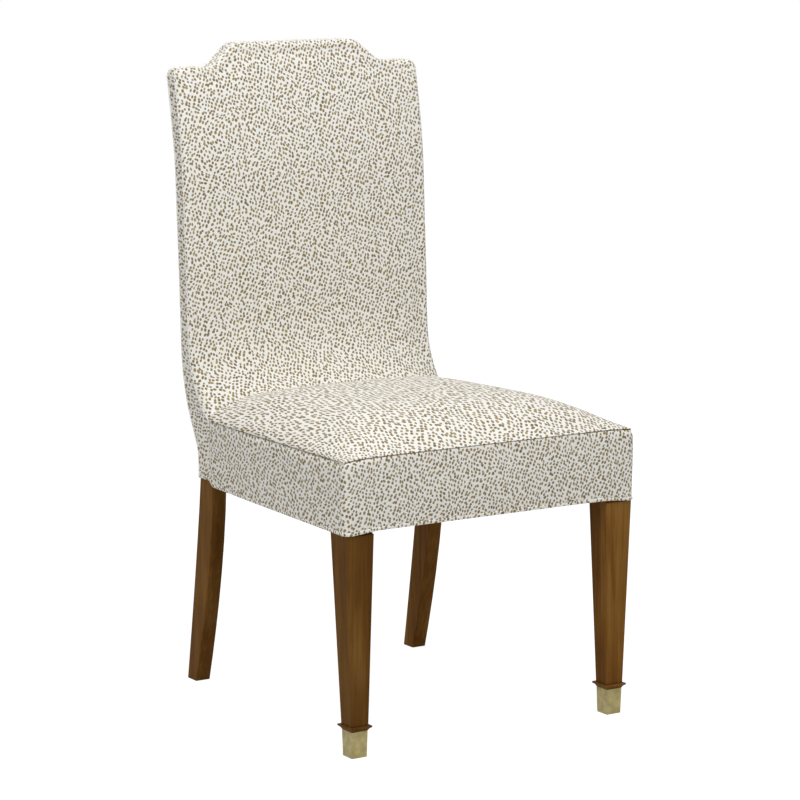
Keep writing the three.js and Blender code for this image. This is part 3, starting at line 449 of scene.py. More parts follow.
def grid_mesh(name, points, closed=False, spread=(1.0, 1.0), cloth=None):
    """A sheet through a grid of points, with its cloth coordinates in metres over the pattern's spread."""
    columns, rows = points.shape[:2]
    mesh = bpy.data.meshes.new(name)
    index = np.arange(columns * rows).reshape(columns, rows)
    if closed:
        index = np.concatenate([index, index[:, :1]], 1)
    mesh.from_pydata(points.reshape(-1, 3).tolist(), [], quads(index).tolist())
    if closed:
        points = np.concatenate([points, points[:, :1]], 1)
    if cloth is None:
        cloth = np.stack([lengths(points, 0, spread[0]), lengths(points, 1, spread[1])], -1)
    uv = cloth + np.array(CLOTH_ORIGINS[name])
    cells = np.arange(uv.shape[0] * uv.shape[1]).reshape(uv.shape[:2])
    layer = mesh.uv_layers.new(name="Cloth")
    layer.data.foreach_set("uv", uv.reshape(-1, 2)[quads(cells).ravel()].astype(np.float32).ravel())
    return mesh


def roll_edges(mesh, roll, depth, keep=lambda p: True, downward=False):
    """Rolls a sheet's edges inwards, as cloth turns into a seam, and straight down first if asked."""
    work = bmesh.new()
    work.from_mesh(mesh)
    work.normal_update()
    edges = [e for e in work.edges if e.is_boundary and keep((e.verts[0].co + e.verts[1].co) / 2)]
    ahead = {}
    for edge in edges:
        face = edge.link_faces[0]
        run = (edge.verts[1].co - edge.verts[0].co).normalized()
        middle = (edge.verts[0].co + edge.verts[1].co) / 2
        if downward:
            out = Vector((run.y, -run.x, 0)).normalized()
            if out.dot(middle) < 0:
                out.negate()
        else:
            out = run.cross(face.normal).normalized()
            if out.dot(middle - face.calc_center_median()) < 0:
                out.negate()
        for vert in edge.verts:
            ahead.setdefault(vert, Vector()).__iadd__(out)
    base = {v: (v.co.copy(), out.normalized(), v.normal.copy()) for v, out in ahead.items()}
    if downward:
        base = {v: (co, Vector((0, 0, -1)), out) for v, (co, out, _) in base.items()}
    source = {v: v for v in base}
    angles = [math.radians(a) for a in ROLL_ANGLES]
    stages = [(roll * math.sin(a), roll * (1 - math.cos(a))) for a in angles] + [(roll, roll + depth)]
    for forward, inward in stages:
        made = bmesh.ops.extrude_edge_only(work, edges=edges)["geom"]
        fresh = [g for g in made if isinstance(g, bmesh.types.BMVert)]
        edges = [g for g in made if isinstance(g, bmesh.types.BMEdge)]
        edges = [e for e in edges if e.verts[0] in fresh and e.verts[1] in fresh]
        near = {v: [e.other_vert(v) for e in v.link_edges] for v in fresh}
        source = {v: next(source[other] for other in others if other in source) for v, others in near.items()}
        for vert, root in source.items():
            co, out, normal = base[root]
            vert.co = co + out * forward * MM - normal * inward * MM
    bmesh.ops.recalc_face_normals(work, faces=work.faces)
    work.to_mesh(mesh)
    work.free()


def face_outwards(mesh, inside):
    """Turns a sheet's faces away from a point inside the chair."""
    mesh.update()
    if sum((face.center - Vector(inside)).dot(face.normal) for face in mesh.polygons) < 0:
        mesh.flip_normals()


def piece(name, mesh, material, replaced=(), smooth=True):
    made = bpy.data.objects.new(name, mesh)
    COLLECTION.objects.link(made)
    mesh.materials.append(material)
    mesh.polygons.foreach_set("use_smooth", [smooth] * len(mesh.polygons))
    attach(made, "root")
    if replaced:
        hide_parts(*replaced)
    return made


def cover(mesh, node_name):
    """A piece of the cover, named as its mesh, in place of a solid of the frame."""
    return piece(mesh.name, mesh, FABRIC, [node_name])


def panel(name, node_name, points, inside, keep=lambda p: True, **cloth):
    """A panel of the back's cover, which faces away from a point, with its edges rolled into their seams."""
    mesh = grid_mesh(name, points, **cloth)
    face_outwards(mesh, inside)
    roll_edges(mesh, PANEL_ROLL, PANEL_DEPTH, keep)
    return cover(mesh, node_name)


def thicken(made):
    solid = made.modifiers.new("thickness", "SOLIDIFY")
    solid.thickness = CLOTH_THICKNESS * MM
    solid.offset = -1
    solid.use_even_offset = False
    return made


def stretched(made, with_pieces=()):
    thicken(made)


def blown_up(points, outward):
    """How a padded panel settles: a closed cover is blown up by cloth simulation, up to a cap."""
    outward = np.array(outward, float)
    picks = [np.linspace(0, count - 1, PAD_GRID).round().astype(int) for count in points.shape[:2]]
    top = points[np.ix_(*picks)]
    index = np.arange(PAD_GRID**2).reshape(PAD_GRID, PAD_GRID)
    ring = np.concatenate([index[:-1, 0], index[-1, :-1], index[:0:-1, -1], index[0, :0:-1]])
    cells = quads(index)
    below = index.size
    ahead = np.roll(ring, -1)
    walls = np.stack([ahead, ring, ring + below, ahead + below], -1)
    under = top - outward * PAD_DEPTH * MM
    mesh = bpy.data.meshes.new("pad")
    faces = np.concatenate([cells, cells[:, ::-1] + below, walls])
    mesh.from_pydata(np.concatenate([top, under]).reshape(-1, 3).tolist(), [], faces.tolist())
    face_outwards(mesh, tuple((top.mean((0, 1)) + under.mean((0, 1))) / 2))
    pad = bpy.data.objects.new("pad", mesh)
    COLLECTION.objects.link(pad)
    held = pad.vertex_groups.new(name="held")
    held.add([*ring.tolist(), *range(below, 2 * below)], 1.0, "REPLACE")
    cloth = pad.modifiers.new("cloth", "CLOTH").settings
    cloth.quality = 6
    cloth.mass = 0.3
    cloth.use_pressure = True
    cloth.uniform_pressure_force = 4
    cloth.effector_weights.gravity = 0
    cloth.vertex_group_mass = held.name
    for frame_number in range(1, PAD_FRAMES + 1):
        bpy.context.scene.frame_set(frame_number)
    result = pad.evaluated_get(bpy.context.evaluated_depsgraph_get())
    settled = np.array([vert.co[:] for vert in result.data.vertices[:below]]).reshape(top.shape)
    move = ((settled - top) @ outward).clip(0, PAD_CAP * MM)
    bpy.data.objects.remove(pad)
    bpy.data.meshes.remove(mesh)
    bpy.context.scene.frame_set(1)
    columns, rows = (np.arange(count) for count in points.shape[:2])
    move = np.stack([np.interp(columns, picks[0], line) for line in move.T], 1)
    move = np.stack([np.interp(rows, picks[1], line) for line in move])
    return (move - PAD_CAP * MM * faded(move.shape))[..., None] * outward


# Materials
def new_material(name):
    made = bpy.data.materials.new(name)
    made.use_nodes = True
    made.node_tree.nodes.clear()
    return made, made.node_tree


def node(tree, kind, values=None, **settings):
    made = tree.nodes.new("ShaderNode" + kind)
    for key, value in settings.items():
        setattr(made, key, value)
    for key, value in (values or {}).items():
        if isinstance(value, bpy.types.NodeSocket):
            tree.links.new(value, made.inputs[key])
        else:
            made.inputs[key].default_value = value
    return made


def maths(tree, operation, *values):
    return node(tree, "Math", dict(enumerate(values)), operation=operation).outputs[0]


def vector(tree, operation, *values):
    return node(tree, "VectorMath", dict(enumerate(values)), operation=operation).outputs[0]


def colour_mix(tree, factor, a, b, blend="MIX"):
    return node(tree, "Mix", {0: factor, 6: a, 7: b}, data_type="RGBA", blend_type=blend).outputs[2]


def ramp(tree, factor, *stops):
    made = node(tree, "ValToRGB", {"Fac": factor})
    elements = made.color_ramp.elements
    while len(elements) < len(stops):
        elements.new(0.5)
    for element, (position, colour) in zip(elements, stops):
        element.position = position
        element.color = (*colour, 1)
    return made.outputs["Color"]


def finish_material(made, tree, shader):
    node(tree, "OutputMaterial", {"Surface": shader})
    return made


def surface(made, tree, **values):
    """A material with a principled shader."""
    values = {key.replace("_", " "): value for key, value in values.items()}
    return finish_material(made, tree, node(tree, "BsdfPrincipled", values).outputs[0])


def noise(tree, at, scale, detail, flat=False, output="Fac", **values):
    """Clouds at places in space, or on the flat cloth."""
    values = {"Vector": at, "Scale": scale, "Detail": detail, **values}
    return node(tree, "TexNoise", values, noise_dimensions="2D" if flat else "3D").outputs[output]


def waves(tree, at, run, distortion, axes):
    """Bands across each axis. They are 2 pi runs long, for the texture turns by 20 radians in a unit."""
    values = {"Vector": at, "Scale": 1 / (20 * run * MM), "Distortion": distortion}
    return [node(tree, "TexWave", values, bands_direction=axis).outputs["Fac"] for axis in axes]


def turned(tree, at, angle):
    return node(tree, "VectorRotate", {"Vector": at, "Angle": angle}, rotation_type="Z_AXIS").outputs[0]


def mixed(tree, a, share_a, b, share_b):
    """A sum of two values, each by its share."""
    return maths(tree, "ADD", maths(tree, "MULTIPLY", a, share_a), maths(tree, "MULTIPLY", b, share_b))


def bump(tree, height, strength, distance):
    values = {"Height": height, "Strength": strength, "Distance": distance * MM}
    return node(tree, "Bump", values).outputs["Normal"]


# The cover's pattern: each cell of an uneven, wandering lattice holds a dab. Its pitch and the dab's size are
# in millimetres, scales are per metre and the wander is in metres. Pairs are a noise's factor and offset.
DAB_PITCH = 6.35
DAB_HALF_WIDTH = 1.8
DAB_HALF_LENGTH = 2.45
DAB_UNEVENNESS = 0.56
DAB_LATTICE_TURN = 0.4
DAB_LEAN_SCALE = 30.0
DAB_LEAN = (2.4, -1.45)
DAB_LEAN_SCATTER = (0.9, -0.45)
DAB_SIZE_SCATTER = (0.34, 0.82)
DAB_RAGGED_SCALE = 900.0
DAB_RAGGED = (0.5, -0.25)
DAB_EDGE = {"From Min": 1.12, "From Max": 0.88}
DAB_COLOURS = ((0.0, (0.19, 0.135, 0.043)), (0.55, (0.28, 0.205, 0.072)), (1.0, (0.38, 0.292, 0.118)))
GROUND_COLOURS = ((0.3, (0.87, 0.85, 0.8)), (0.7, (0.955, 0.938, 0.895)))
WANDER_SCALE = 22.0
WANDER_REACH = 0.009
SLUB_SCALE = 260.0
SLUB_STRETCH = (1.0, 6.0, 1.0)
COVER_WEAVE_RUN = 0.75


def cover_fabric(name="cover_fabric", dabs=True):
    """An off-white woven cover with small brown dabs in loose, wandering rows."""
    made, tree = new_material(name)
    cloth = node(tree, "UVMap", uv_map="Cloth").outputs["UV"]
    wander = noise(tree, cloth, WANDER_SCALE, 1.0, flat=True, output="Color")
    shift = vector(tree, "SUBTRACT", wander, (0.5, 0.5, 0.5))
    shift = vector(tree, "MULTIPLY", shift, (WANDER_REACH, WANDER_REACH, 0.0))
    warped = turned(tree, vector(tree, "ADD", cloth, shift), DAB_LATTICE_TURN)
    lattice = {"Vector": warped, "Scale": 1 / (DAB_PITCH * MM), "Randomness": DAB_UNEVENNESS}
    cells = node(tree, "TexVoronoi", lattice, voronoi_dimensions="2D", feature="F1")
    offset = vector(tree, "SUBTRACT", warped, cells.outputs["Position"])
    chance = node(tree, "SeparateColor", {"Color": cells.outputs["Color"]})
    flow = noise(tree, cells.outputs["Position"], DAB_LEAN_SCALE, 0.0, flat=True)
    lean = maths(tree, "MULTIPLY_ADD", flow, *DAB_LEAN)
    turn = maths(tree, "MULTIPLY_ADD", chance.outputs["Red"], *DAB_LEAN_SCATTER)
    spun = turned(tree, offset, maths(tree, "ADD", lean, turn))
    size = maths(tree, "MULTIPLY_ADD", chance.outputs["Green"], *DAB_SIZE_SCATTER)
    spun = vector(tree, "DIVIDE", spun, (DAB_HALF_WIDTH * MM, DAB_HALF_LENGTH * MM, 1.0))
    reach = node(tree, "VectorMath", {0: spun}, operation="LENGTH").outputs["Value"]
    ragged = noise(tree, cloth, DAB_RAGGED_SCALE, 1.0, flat=True)
    reach = maths(tree, "DIVIDE", reach, size)
    reach = maths(tree, "ADD", reach, maths(tree, "MULTIPLY_ADD", ragged, *DAB_RAGGED))
    mask = node(tree, "MapRange", {"Value": reach, **DAB_EDGE}, interpolation_type="SMOOTHSTEP")
    mask = mask.outputs["Result"]
    dab = ramp(tree, chance.outputs["Blue"], *DAB_COLOURS)
    slub = noise(tree, vector(tree, "MULTIPLY", cloth, SLUB_STRETCH), SLUB_SCALE, 2.0, flat=True)
    ground = ramp(tree, slub, *GROUND_COLOURS)
    colour = colour_mix(tree, mask, ground, dab) if dabs else ground
    weave = maths(tree, "MULTIPLY", *waves(tree, cloth, COVER_WEAVE_RUN, 0.0, "XY"))
    height = maths(tree, "ADD", weave, maths(tree, "MULTIPLY", slub, 0.8))
    if dabs:
        height = maths(tree, "ADD", height, maths(tree, "MULTIPLY", mask, 0.9))
    relief = bump(tree, height, 0.35, 0.22)
    return surface(
        made, tree, Base_Color=colour, Roughness=0.92, Normal=relief, Sheen_Weight=0.12, Sheen_Roughness=0.6,
        Specular_IOR_Level=0.2)


# How fine the wood's grain and the metal's marks are along x, y and z, and the painted light on the wood, which
# grows lighter towards the right and the rear
GRAIN_STREAKS = (240.0, 240.0, 5.0)
GRAIN_BROAD = (38.0, 38.0, 3.2)
GRAIN_CLOUDS = (14.0, 14.0, 7.0)
GRAIN_PORES = {"From Min": 0.35, "From Max": 0.62}
GRAIN_GLOW = {"From Min": 0.5, "From Max": 0.3}
WOOD_PAINTED_LIGHT_SLOPE = (0.9, 0.24, 0.0)
WOOD_PAINTED_LIGHT_LEVEL = 1.2
METAL_MARKS = (90.0, 90.0, 2600.0)
METAL_CLOUDS = 95.0
FUZZ_SCALE = 900.0


def wood(name, dark, middle, light, roughness, grain=1.0):
    """Straight-grained wood that runs along the height of the legs and posts, with painted light: lighter
    towards the right and the rear, darker towards the left and the front.
    """
    made, tree = new_material(name)
    at = node(tree, "TexCoord").outputs["Object"]
    streaks = noise(tree, vector(tree, "MULTIPLY", at, GRAIN_STREAKS), 1.0, 5.0, Roughness=0.6)
    broad = noise(tree, vector(tree, "MULTIPLY", at, GRAIN_BROAD), 1.0, 3.0, Distortion=0.6)
    cloudy = noise(tree, vector(tree, "MULTIPLY", at, GRAIN_CLOUDS), 1.0, 2.0)
    colour = ramp(tree, mixed(tree, broad, 0.6, cloudy, 0.4), (0.3, dark), (0.5, middle), (0.72, light))
    pores = node(tree, "MapRange", {"Value": streaks, **GRAIN_PORES}).outputs["Result"]
    shaded = colour_mix(tree, maths(tree, "MULTIPLY", pores, 0.3 * grain), colour, (*dark, 1))
    glow = node(tree, "MapRange", {"Value": streaks, **GRAIN_GLOW, "To Max": 0.22 * grain})
    shaded = colour_mix(tree, glow.outputs["Result"], shaded, (*light, 1))
    # Painted light and shade: the colour is multiplied by a factor that makes parts lighter towards the right
    # and the rear and darker towards the left and the front.
    painted_light = node(tree, "VectorMath", {0: at, 1: WOOD_PAINTED_LIGHT_SLOPE}, operation="DOT_PRODUCT").outputs["Value"]
    painted_light = maths(tree, "ADD", painted_light, WOOD_PAINTED_LIGHT_LEVEL)
    painted_light = node(tree, "CombineColor", dict.fromkeys(("Red", "Green", "Blue"), painted_light))
    shaded = colour_mix(tree, 1.0, shaded, painted_light.outputs["Color"], "MULTIPLY")
    worn = maths(tree, "MULTIPLY_ADD", cloudy, 0.12, roughness - 0.06)
    relief = bump(tree, streaks, 0.12, 0.15)
    return surface(made, tree, Base_Color=shaded, Roughness=worn, Normal=relief, Specular_IOR_Level=0.03)


def metal(name, dark, light, roughness, brushed, polish):
    """Metal with fine brush marks across its height and a slightly cloudy finish."""
    made, tree = new_material(name)
    at = node(tree, "TexCoord").outputs["Object"]
    marks = noise(tree, vector(tree, "MULTIPLY", at, METAL_MARKS), 1.0, 3.0)
    clouds = noise(tree, at, METAL_CLOUDS, 4.0)
    colour = ramp(tree, clouds, (0.32, dark), (0.66, light))
    colour = colour_mix(tree, maths(tree, "MULTIPLY", marks, 0.35 * brushed), colour, (*dark, 1))
    rough = maths(tree, "MULTIPLY", marks, 0.2)
    rough = maths(tree, "ADD", rough, maths(tree, "MULTIPLY_ADD", clouds, 0.2, roughness - 0.2))
    relief = bump(tree, marks, 0.2 * brushed, 0.08)
    return surface(
        made, tree, Base_Color=colour, Metallic=polish, Roughness=rough, Normal=relief, Specular_IOR_Level=0.2)


def woven(name, dark, light, run, bump_height):
    """A coarse plain weave, placed by the object's own coordinates."""
    made, tree = new_material(name)
    at = node(tree, "TexCoord").outputs["Object"]
    fuzz = noise(tree, at, FUZZ_SCALE, 2.0)
    across, along_cloth, upright = waves(tree, at, run, 0.4, "XYZ")
    weave = maths(tree, "MULTIPLY", across, along_cloth)
    weave = maths(tree, "ADD", weave, maths(tree, "MULTIPLY", upright, 0.5))
    return rough_stuff(made, tree, mixed(tree, weave, 0.6, fuzz, 0.4), weave, dark, light, bump_height)


def porous(name, dark, light, scale):
    """Foam or wadding: a soft cellular surface."""
    made, tree = new_material(name)
    at = node(tree, "TexCoord").outputs["Object"]
    cells = node(tree, "TexVoronoi", {"Vector": at, "Scale": scale}).outputs["Distance"]
    clouds = noise(tree, at, scale / 12, 3.0)
    return rough_stuff(made, tree, mixed(tree, cells, 0.5, clouds, 0.5), cells, dark, light, 0.4)


def rough_stuff(made, tree, figure, height, dark, light, bump_height):
    """A dull surface that runs from dark to light by its figure."""
    colour = ramp(tree, figure, (0.2, dark), (0.8, light))
    relief = bump(tree, height, 0.5, bump_height)
    return surface(made, tree, Base_Color=colour, Roughness=0.95, Normal=relief)


FABRIC = cover_fabric()
THREAD = cover_fabric("seam_thread", dabs=False)
WOOD = wood("finished_wood", (0.075, 0.027, 0.004), (0.155, 0.067, 0.0125), (0.27, 0.138, 0.034), 0.5)
FRAME_WOOD = wood("frame_wood", (0.42, 0.28, 0.14), (0.55, 0.4, 0.22), (0.68, 0.52, 0.32), 0.75, 0.8)
BRASS = metal("aged_brass", (0.3, 0.245, 0.105), (0.49, 0.41, 0.19), 0.42, 1.0, 0.5)
STEEL = metal("zinc_steel", (0.45, 0.45, 0.46), (0.62, 0.62, 0.63), 0.35, 0.4, 1.0)
WEBBING = woven("jute_webbing", (0.25, 0.18, 0.1), (0.5, 0.4, 0.26), 2.2, 0.3)
HESSIAN = woven("hessian", (0.33, 0.25, 0.14), (0.62, 0.51, 0.34), 1.6, 0.2)
DUST_CLOTH = woven("dust_cloth", (0.02, 0.02, 0.022), (0.07, 0.07, 0.075), 1.0, 0.08)
FOAM = porous("foam", (0.72, 0.64, 0.4), (0.86, 0.8, 0.58), 700)
WADDING = porous("wadding", (0.82, 0.82, 0.8), (0.95, 0.95, 0.94), 420)

# The rigid parts by the start of their names: material, slot and width of the eased edge
FINISHES = (
    (("front_leg", "rear_post"), WOOD, "finished_wood", 0.5),
    ("leg_collar", WOOD, "finished_wood", 0.6),
    ("ferrule", BRASS, "aged_brass", 0.5),
    ("block_screw", STEEL, "steel", 0.2),
    ("", FRAME_WOOD, "frame_wood", 0.4),
)


# Waves of the cloth
def faded(shape, edges=FADE_EDGES):
    """One over the middle of a grid, down to nothing at its edges."""
    ways = [np.linspace(0, 1, count) for count in shape]
    across, up = (np.clip(np.minimum(t, 1 - t) / edge, 0, 1) ** 2 for t, edge in zip(ways, edges))
    return across[:, None] * up[None, :]


def ripple(points, height, seed, edges=FADE_EDGES):
    """A slow, shallow unevenness that stops short of the edges, so that no panel is perfectly even."""
    rng = np.random.default_rng(seed)
    wave = np.zeros(points.shape[:2])
    for _ in range(RIPPLE_COUNT):
        direction = rng.normal(size=3)
        direction /= np.linalg.norm(direction)
        length = rng.uniform(*RIPPLE_LENGTHS)
        wave += np.sin(points @ direction * 2 * math.pi / length + rng.uniform(0, 2 * math.pi))
    return height * wave / RIPPLE_COUNT * MM * faded(wave.shape, edges)


# The seat's top
def seat_top():
    across = np.sin(np.linspace(-math.pi / 2, math.pi / 2, SEAT_LINES))
    forward = (1 - np.cos(np.linspace(0, math.pi, SEAT_LINES))) / 2
    a = across[:, None]
    turn = share(np.abs(a) * SEAT_FRONT_HALF_WIDTH, SEAT_CORNER_X, SEAT_FRONT_HALF_WIDTH)
    front = SEAT_CORNER_RADIUS * (1 - np.sqrt(1 - turn**2))
    depth = lerp(front, SEAT_TOP_DEPTH - TUCK_ROLL, forward[None, :])
    height = seat_top_height(a, depth, depth - front)
    crown = height - seam_height(depth)
    x = a * seat_half_width(depth)
    lift = (SEAM_LIFT + seam_shift(x, depth)) * np.exp(-crown / SEAM_LIFT_RUN)
    points = place(x, depth, height + lift)
    points[..., 2] += ripple(points, height=0.5, seed=3)
    points += blown_up(points, (0, 0, 1))
    rearward = share(SEAT_TOP_DEPTH * forward, 0, SEAT_SPREAD_RUN)
    outward = share(np.abs(across), SEAT_SPREAD_SIDE_START, 1)
    along_seat = between(lerp(SEAT_SPREAD_FRONT, SEAT_SPREAD_REAR, rearward))[None, :]
    sideways = between(lerp(SEAT_SPREAD_MIDDLE, SEAT_SPREAD_SIDE, outward))[:, None]
    mesh = grid_mesh("seat_top_panel", points, spread=(sideways, along_seat))
    face_outwards(mesh, (0, 0, 0.3))
    rear = FRONT_Y + (SEAT_TOP_DEPTH - TUCK_ROLL - TUCK_TOLERANCE) * MM
    roll_edges(mesh, SEAM_ROLL, SEAM_DEPTH, lambda p: p.y < rear, downward=True)
    low = (SEAM_REAR_HEIGHT + SEAM_LIFT + TUCK_TOLERANCE) * MM
    roll_edges(mesh, TUCK_ROLL, TUCK_DEPTH, lambda p: p.y > rear and p.z > low)
    thicken(cover(mesh, "seat_cover"))


# The wrap round the seat's front and sides, and its hem
def seat_path(rear_depth):
    """Points round the seat's outline in plan, each with its outward direction and its share of the front."""
    slope = math.atan2(SEAT_FRONT_HALF_WIDTH - SEAT_REAR_HALF_WIDTH, SEAT_TOP_DEPTH)
    count = int((rear_depth - SEAT_CORNER_RADIUS) / PATH_STEP) + 1
    depth = np.linspace(rear_depth, SEAT_CORNER_RADIUS, count)[:-1]
    side = as_columns(seat_half_width(depth), depth, math.cos(slope), math.sin(slope), 0)
    cos, sin = quarter_turn(SEAT_CORNER_STEPS)
    corner = as_columns(
        SEAT_CORNER_X + SEAT_CORNER_RADIUS * cos, SEAT_CORNER_RADIUS * (1 - sin), cos, -sin, 0)
    f = np.linspace(0, 1, int(SEAT_CORNER_X / PATH_STEP) + 1)[1:]
    front = as_columns(SEAT_CORNER_X * (1 - f), 0, 0, -1, f)
    return mirrored(np.concatenate([side, corner, front]), (-1, 1, -1, 1, 1))


def side_share(depth, front_share):
    """How much the wrap bulges at a place: fully at the front corners, not at the middle or rear."""
    rest = 1 - share(front_share, 0, SIDE_BULGE_FRONT_SHARE)
    return rest * share(SEAT_TOP_DEPTH - depth, 0, SIDE_BULGE_RUN)


def seat_border():
    path = seat_path(SEAT_TOP_DEPTH - PANEL_ROLL - PANEL_GAP)
    x, depth, out_x, out_y, front_share = path.T[:, :, None]
    up = np.linspace(0, 1, BORDER_LINES)[None, :]
    bottom = hem_height(x, depth, front_share) + HEM_BAND_HEIGHT + SEAM_ROLL - HEM_OVERLAP
    top = seam_height(depth) + seam_shift(x, depth) - SEAM_LIFT
    z = lerp(bottom, top, up)
    below = top - z
    fullness = rounded(1 - share(below, 0, SIDE_BULGE_RISE), 2)
    fullness = fullness * lerp(HEM_BULGE_SHARE, 1, np.sin(np.pi * up / 2)) * side_share(depth, front_share)
    tuck = lerp(SEAM_TUCK_FRONT, SEAM_TUCK_SIDE, share(depth, 0, SEAM_TUCK_TURN))
    bulge = FRONT_BULGE * np.sin(np.pi * up) * np.sin(front_share * np.pi / 2)
    bulge = bulge + SIDE_BULGE * fullness - tuck * np.exp(-below / SEAM_TUCK_RUN)
    points = place(x + out_x * bulge, depth + out_y * bulge, z)
    wave = ripple(points, height=0.45, seed=5, edges=BORDER_FADE_EDGES)
    points[..., 0] += wave * out_x
    points[..., 1] += wave * out_y
    around = between(lerp(BORDER_SPREAD, SIDE_SPREAD, share(depth, 0, SEAT_CORNER_RADIUS)))
    mesh = grid_mesh("seat_border_panel", points, spread=(around, BORDER_SPREAD))
    face_outwards(mesh, (0, 0, 0.4))
    roll_edges(mesh, SEAM_ROLL, SEAM_DEPTH)
    stretched(cover(mesh, "seat_border"), [hem_band()])


def band_section():
    """The hem's soft, flattened band in section: how far each point stands out, and how far up it lies."""
    radius = HEM_BAND_RADIUS
    outer, inner = HEM_BAND_PROUD - radius, HEM_BAND_PROUD - HEM_BAND_THICKNESS + radius
    low, high = radius, HEM_BAND_HEIGHT - radius
    points = []
    for out, up, start in ((outer, low, -90), (outer, high, 0), (inner, high, 90), (inner, low, 180)):
        for turn in (0, 30, 60, 90):
            a = math.radians(start + turn)
            points.append((out + radius * math.cos(a), up + radius * math.sin(a)))
    return np.array(points)


def band(name, path, bottom, node_name):
    x, depth, out_x, out_y = path.T[:4, :, None]
    section = band_section()
    out, up = section[:, 0][None, :], section[:, 1][None, :]
    points = place(x + out_x * out, depth + out_y * out, bottom + up)
    mesh = grid_mesh(name, points, closed=True)
    cap_ends(mesh, len(path), len(section))
    return cover(mesh, node_name)


def cap_ends(mesh, columns, rows):
    """Closes both ends of a tube made as a grid."""
    work = bmesh.new()
    work.from_mesh(mesh)
    work.verts.ensure_lookup_table()
    work.faces.new([work.verts[k] for k in range(rows)])
    work.faces.new([work.verts[(columns - 1) * rows + k] for k in reversed(range(rows))])
    bmesh.ops.recalc_face_normals(work, faces=work.faces)
    work.to_mesh(mesh)
    work.free()


def hem_band():
    path = seat_path(SEAT_TOP_DEPTH - PANEL_GAP)
    x, depth, _, _, front_share = path.T[:, :, None]
    bottom = hem_height(x, depth, front_share)
    path[:, :2] += path[:, 2:4] * HEM_BULGE_SHARE * SIDE_BULGE * side_share(depth, front_share)
    return band("hem_band_front_and_sides", path, bottom, "hem_band")


def rear_path():
    """Points round the foot of the back, each with its outward direction."""
    radius = BACK_EDGE_RADIUS
    rear = float(back_rear_depth(REAR_HEM_HEIGHT))
    depth = np.linspace(SEAT_TOP_DEPTH + PANEL_GAP, rear - radius, REAR_SIDE_STEPS)[:-1]
    side = as_columns(BACK_HALF_WIDTH, depth, 1, 0)
    cos, sin = quarter_turn(REAR_CORNER_STEPS)
    corner = as_columns(BACK_HALF_WIDTH - radius + radius * cos, rear - radius + radius * sin, cos, sin)
    rest = as_columns(np.linspace(BACK_HALF_WIDTH - radius, 0, REAR_STEPS)[1:], rear, 0, 1)
    return mirrored(np.concatenate([side, corner, rest]), (-1, 1, -1, 1))


def rear_hem_band():
    return band("hem_band_rear", rear_path(), REAR_HEM_HEIGHT, "rear_hem_band")


# The back
def back_columns():
    inner = np.linspace(-1, 1, BACK_MIDDLE_LINES)[1:-1] * BACK_CORNER_X
    right = BACK_CORNER_X + BACK_CORNER_RADIUS * np.sin(np.linspace(0, math.pi / 2, BACK_EDGE_LINES))
    return np.concatenate([-right[::-1], inner, right])


def back_rows(x, foot):
    """Heights up each column from a foot to the crest, closer together towards both ends."""
    t = np.linspace(0, 1, BACK_LINES)
    t = t - BACK_ROW_BUNCHING * np.sin(2 * np.pi * t) / (2 * np.pi)
    return lerp(foot, np.interp(x, *CREST.T)[:, None], t[None, :])


def back_cloth(x, z, points):
    """Cloth coordinates of a panel of the back: lengths across it, and up its columns from one level."""
    up = np.concatenate([np.zeros((len(z), 1)), np.cumsum(steps(points, 1), 1)], 1)
    level = [np.interp(CLOTH_LEVEL, heights, run) for heights, run in zip(z, up)]
    inward = np.linspace(0, BACK_EDGE_RADIUS, BACK_ARC_STEPS)
    arc = distances(np.stack([inward, setback(inward)], 1))
    spare = arc[-1] - arc - (BACK_EDGE_RADIUS - inward)
    across = x + np.sign(x) * np.interp(BACK_HALF_WIDTH - np.abs(x), inward, spare)
    return np.stack([across * MM, up - np.array(level)[:, None]], -1)


def inside_back():
    x = back_columns()
    junction = junction_height(x)[:, None]
    z = back_rows(x, junction - FOOT_DROP)
    x = np.broadcast_to(x[:, None], z.shape)
    below = share(junction - z, 0, FOOT_INSET)
    depth = np.maximum(inside_back_depth(x, z), SEAT_TOP_DEPTH + FOOT_GAP)
    depth = depth + setback(outline_distance(x, z)) * (1 - below)
    points = place(x * (1 - below * FOOT_INSET / BACK_HALF_WIDTH), depth, z)
    cloth = back_cloth(x, z, points)
    points[..., 1] += ripple(points, height=0.55, seed=11)
    points += blown_up(points, (0, -1, 0))
    foot_x, _, foot_z = points[:, 0].T
    made = panel(
        "inside_back_panel", "inside_back_cover", points, (0, 0.6, 0.6),
        lambda p: p.z >= np.interp(p.x, foot_x, foot_z) + FOOT_TOLERANCE * MM, cloth=cloth)
    thicken(made)


def outside_back():
    x = back_columns()
    z = back_rows(x, BACK_PANEL_FOOT)
    x = np.broadcast_to(x[:, None], z.shape)
    points = place(x, back_rear_depth(z) - setback(outline_distance(x, z)), z)
    points[..., 1] += ripple(points, height=0.45, seed=13)
    cloth = back_cloth(x, z, points)
    made = panel("outside_back_panel", "outside_back_cover", points, (0, 0, 0.6), cloth=cloth)
    stretched(made, [rear_hem_band()])


def strip_depth(front, rear):
    """Depths across a strip of the back, between its seams, and how far it stands out at each."""
    t = np.linspace(0, 1, STRIP_COLUMNS)[None, :]
    return lerp(front + PANEL_ROLL, rear - PANEL_ROLL, t), SIDE_PUFF * (np.sin(np.pi * t) - 1)


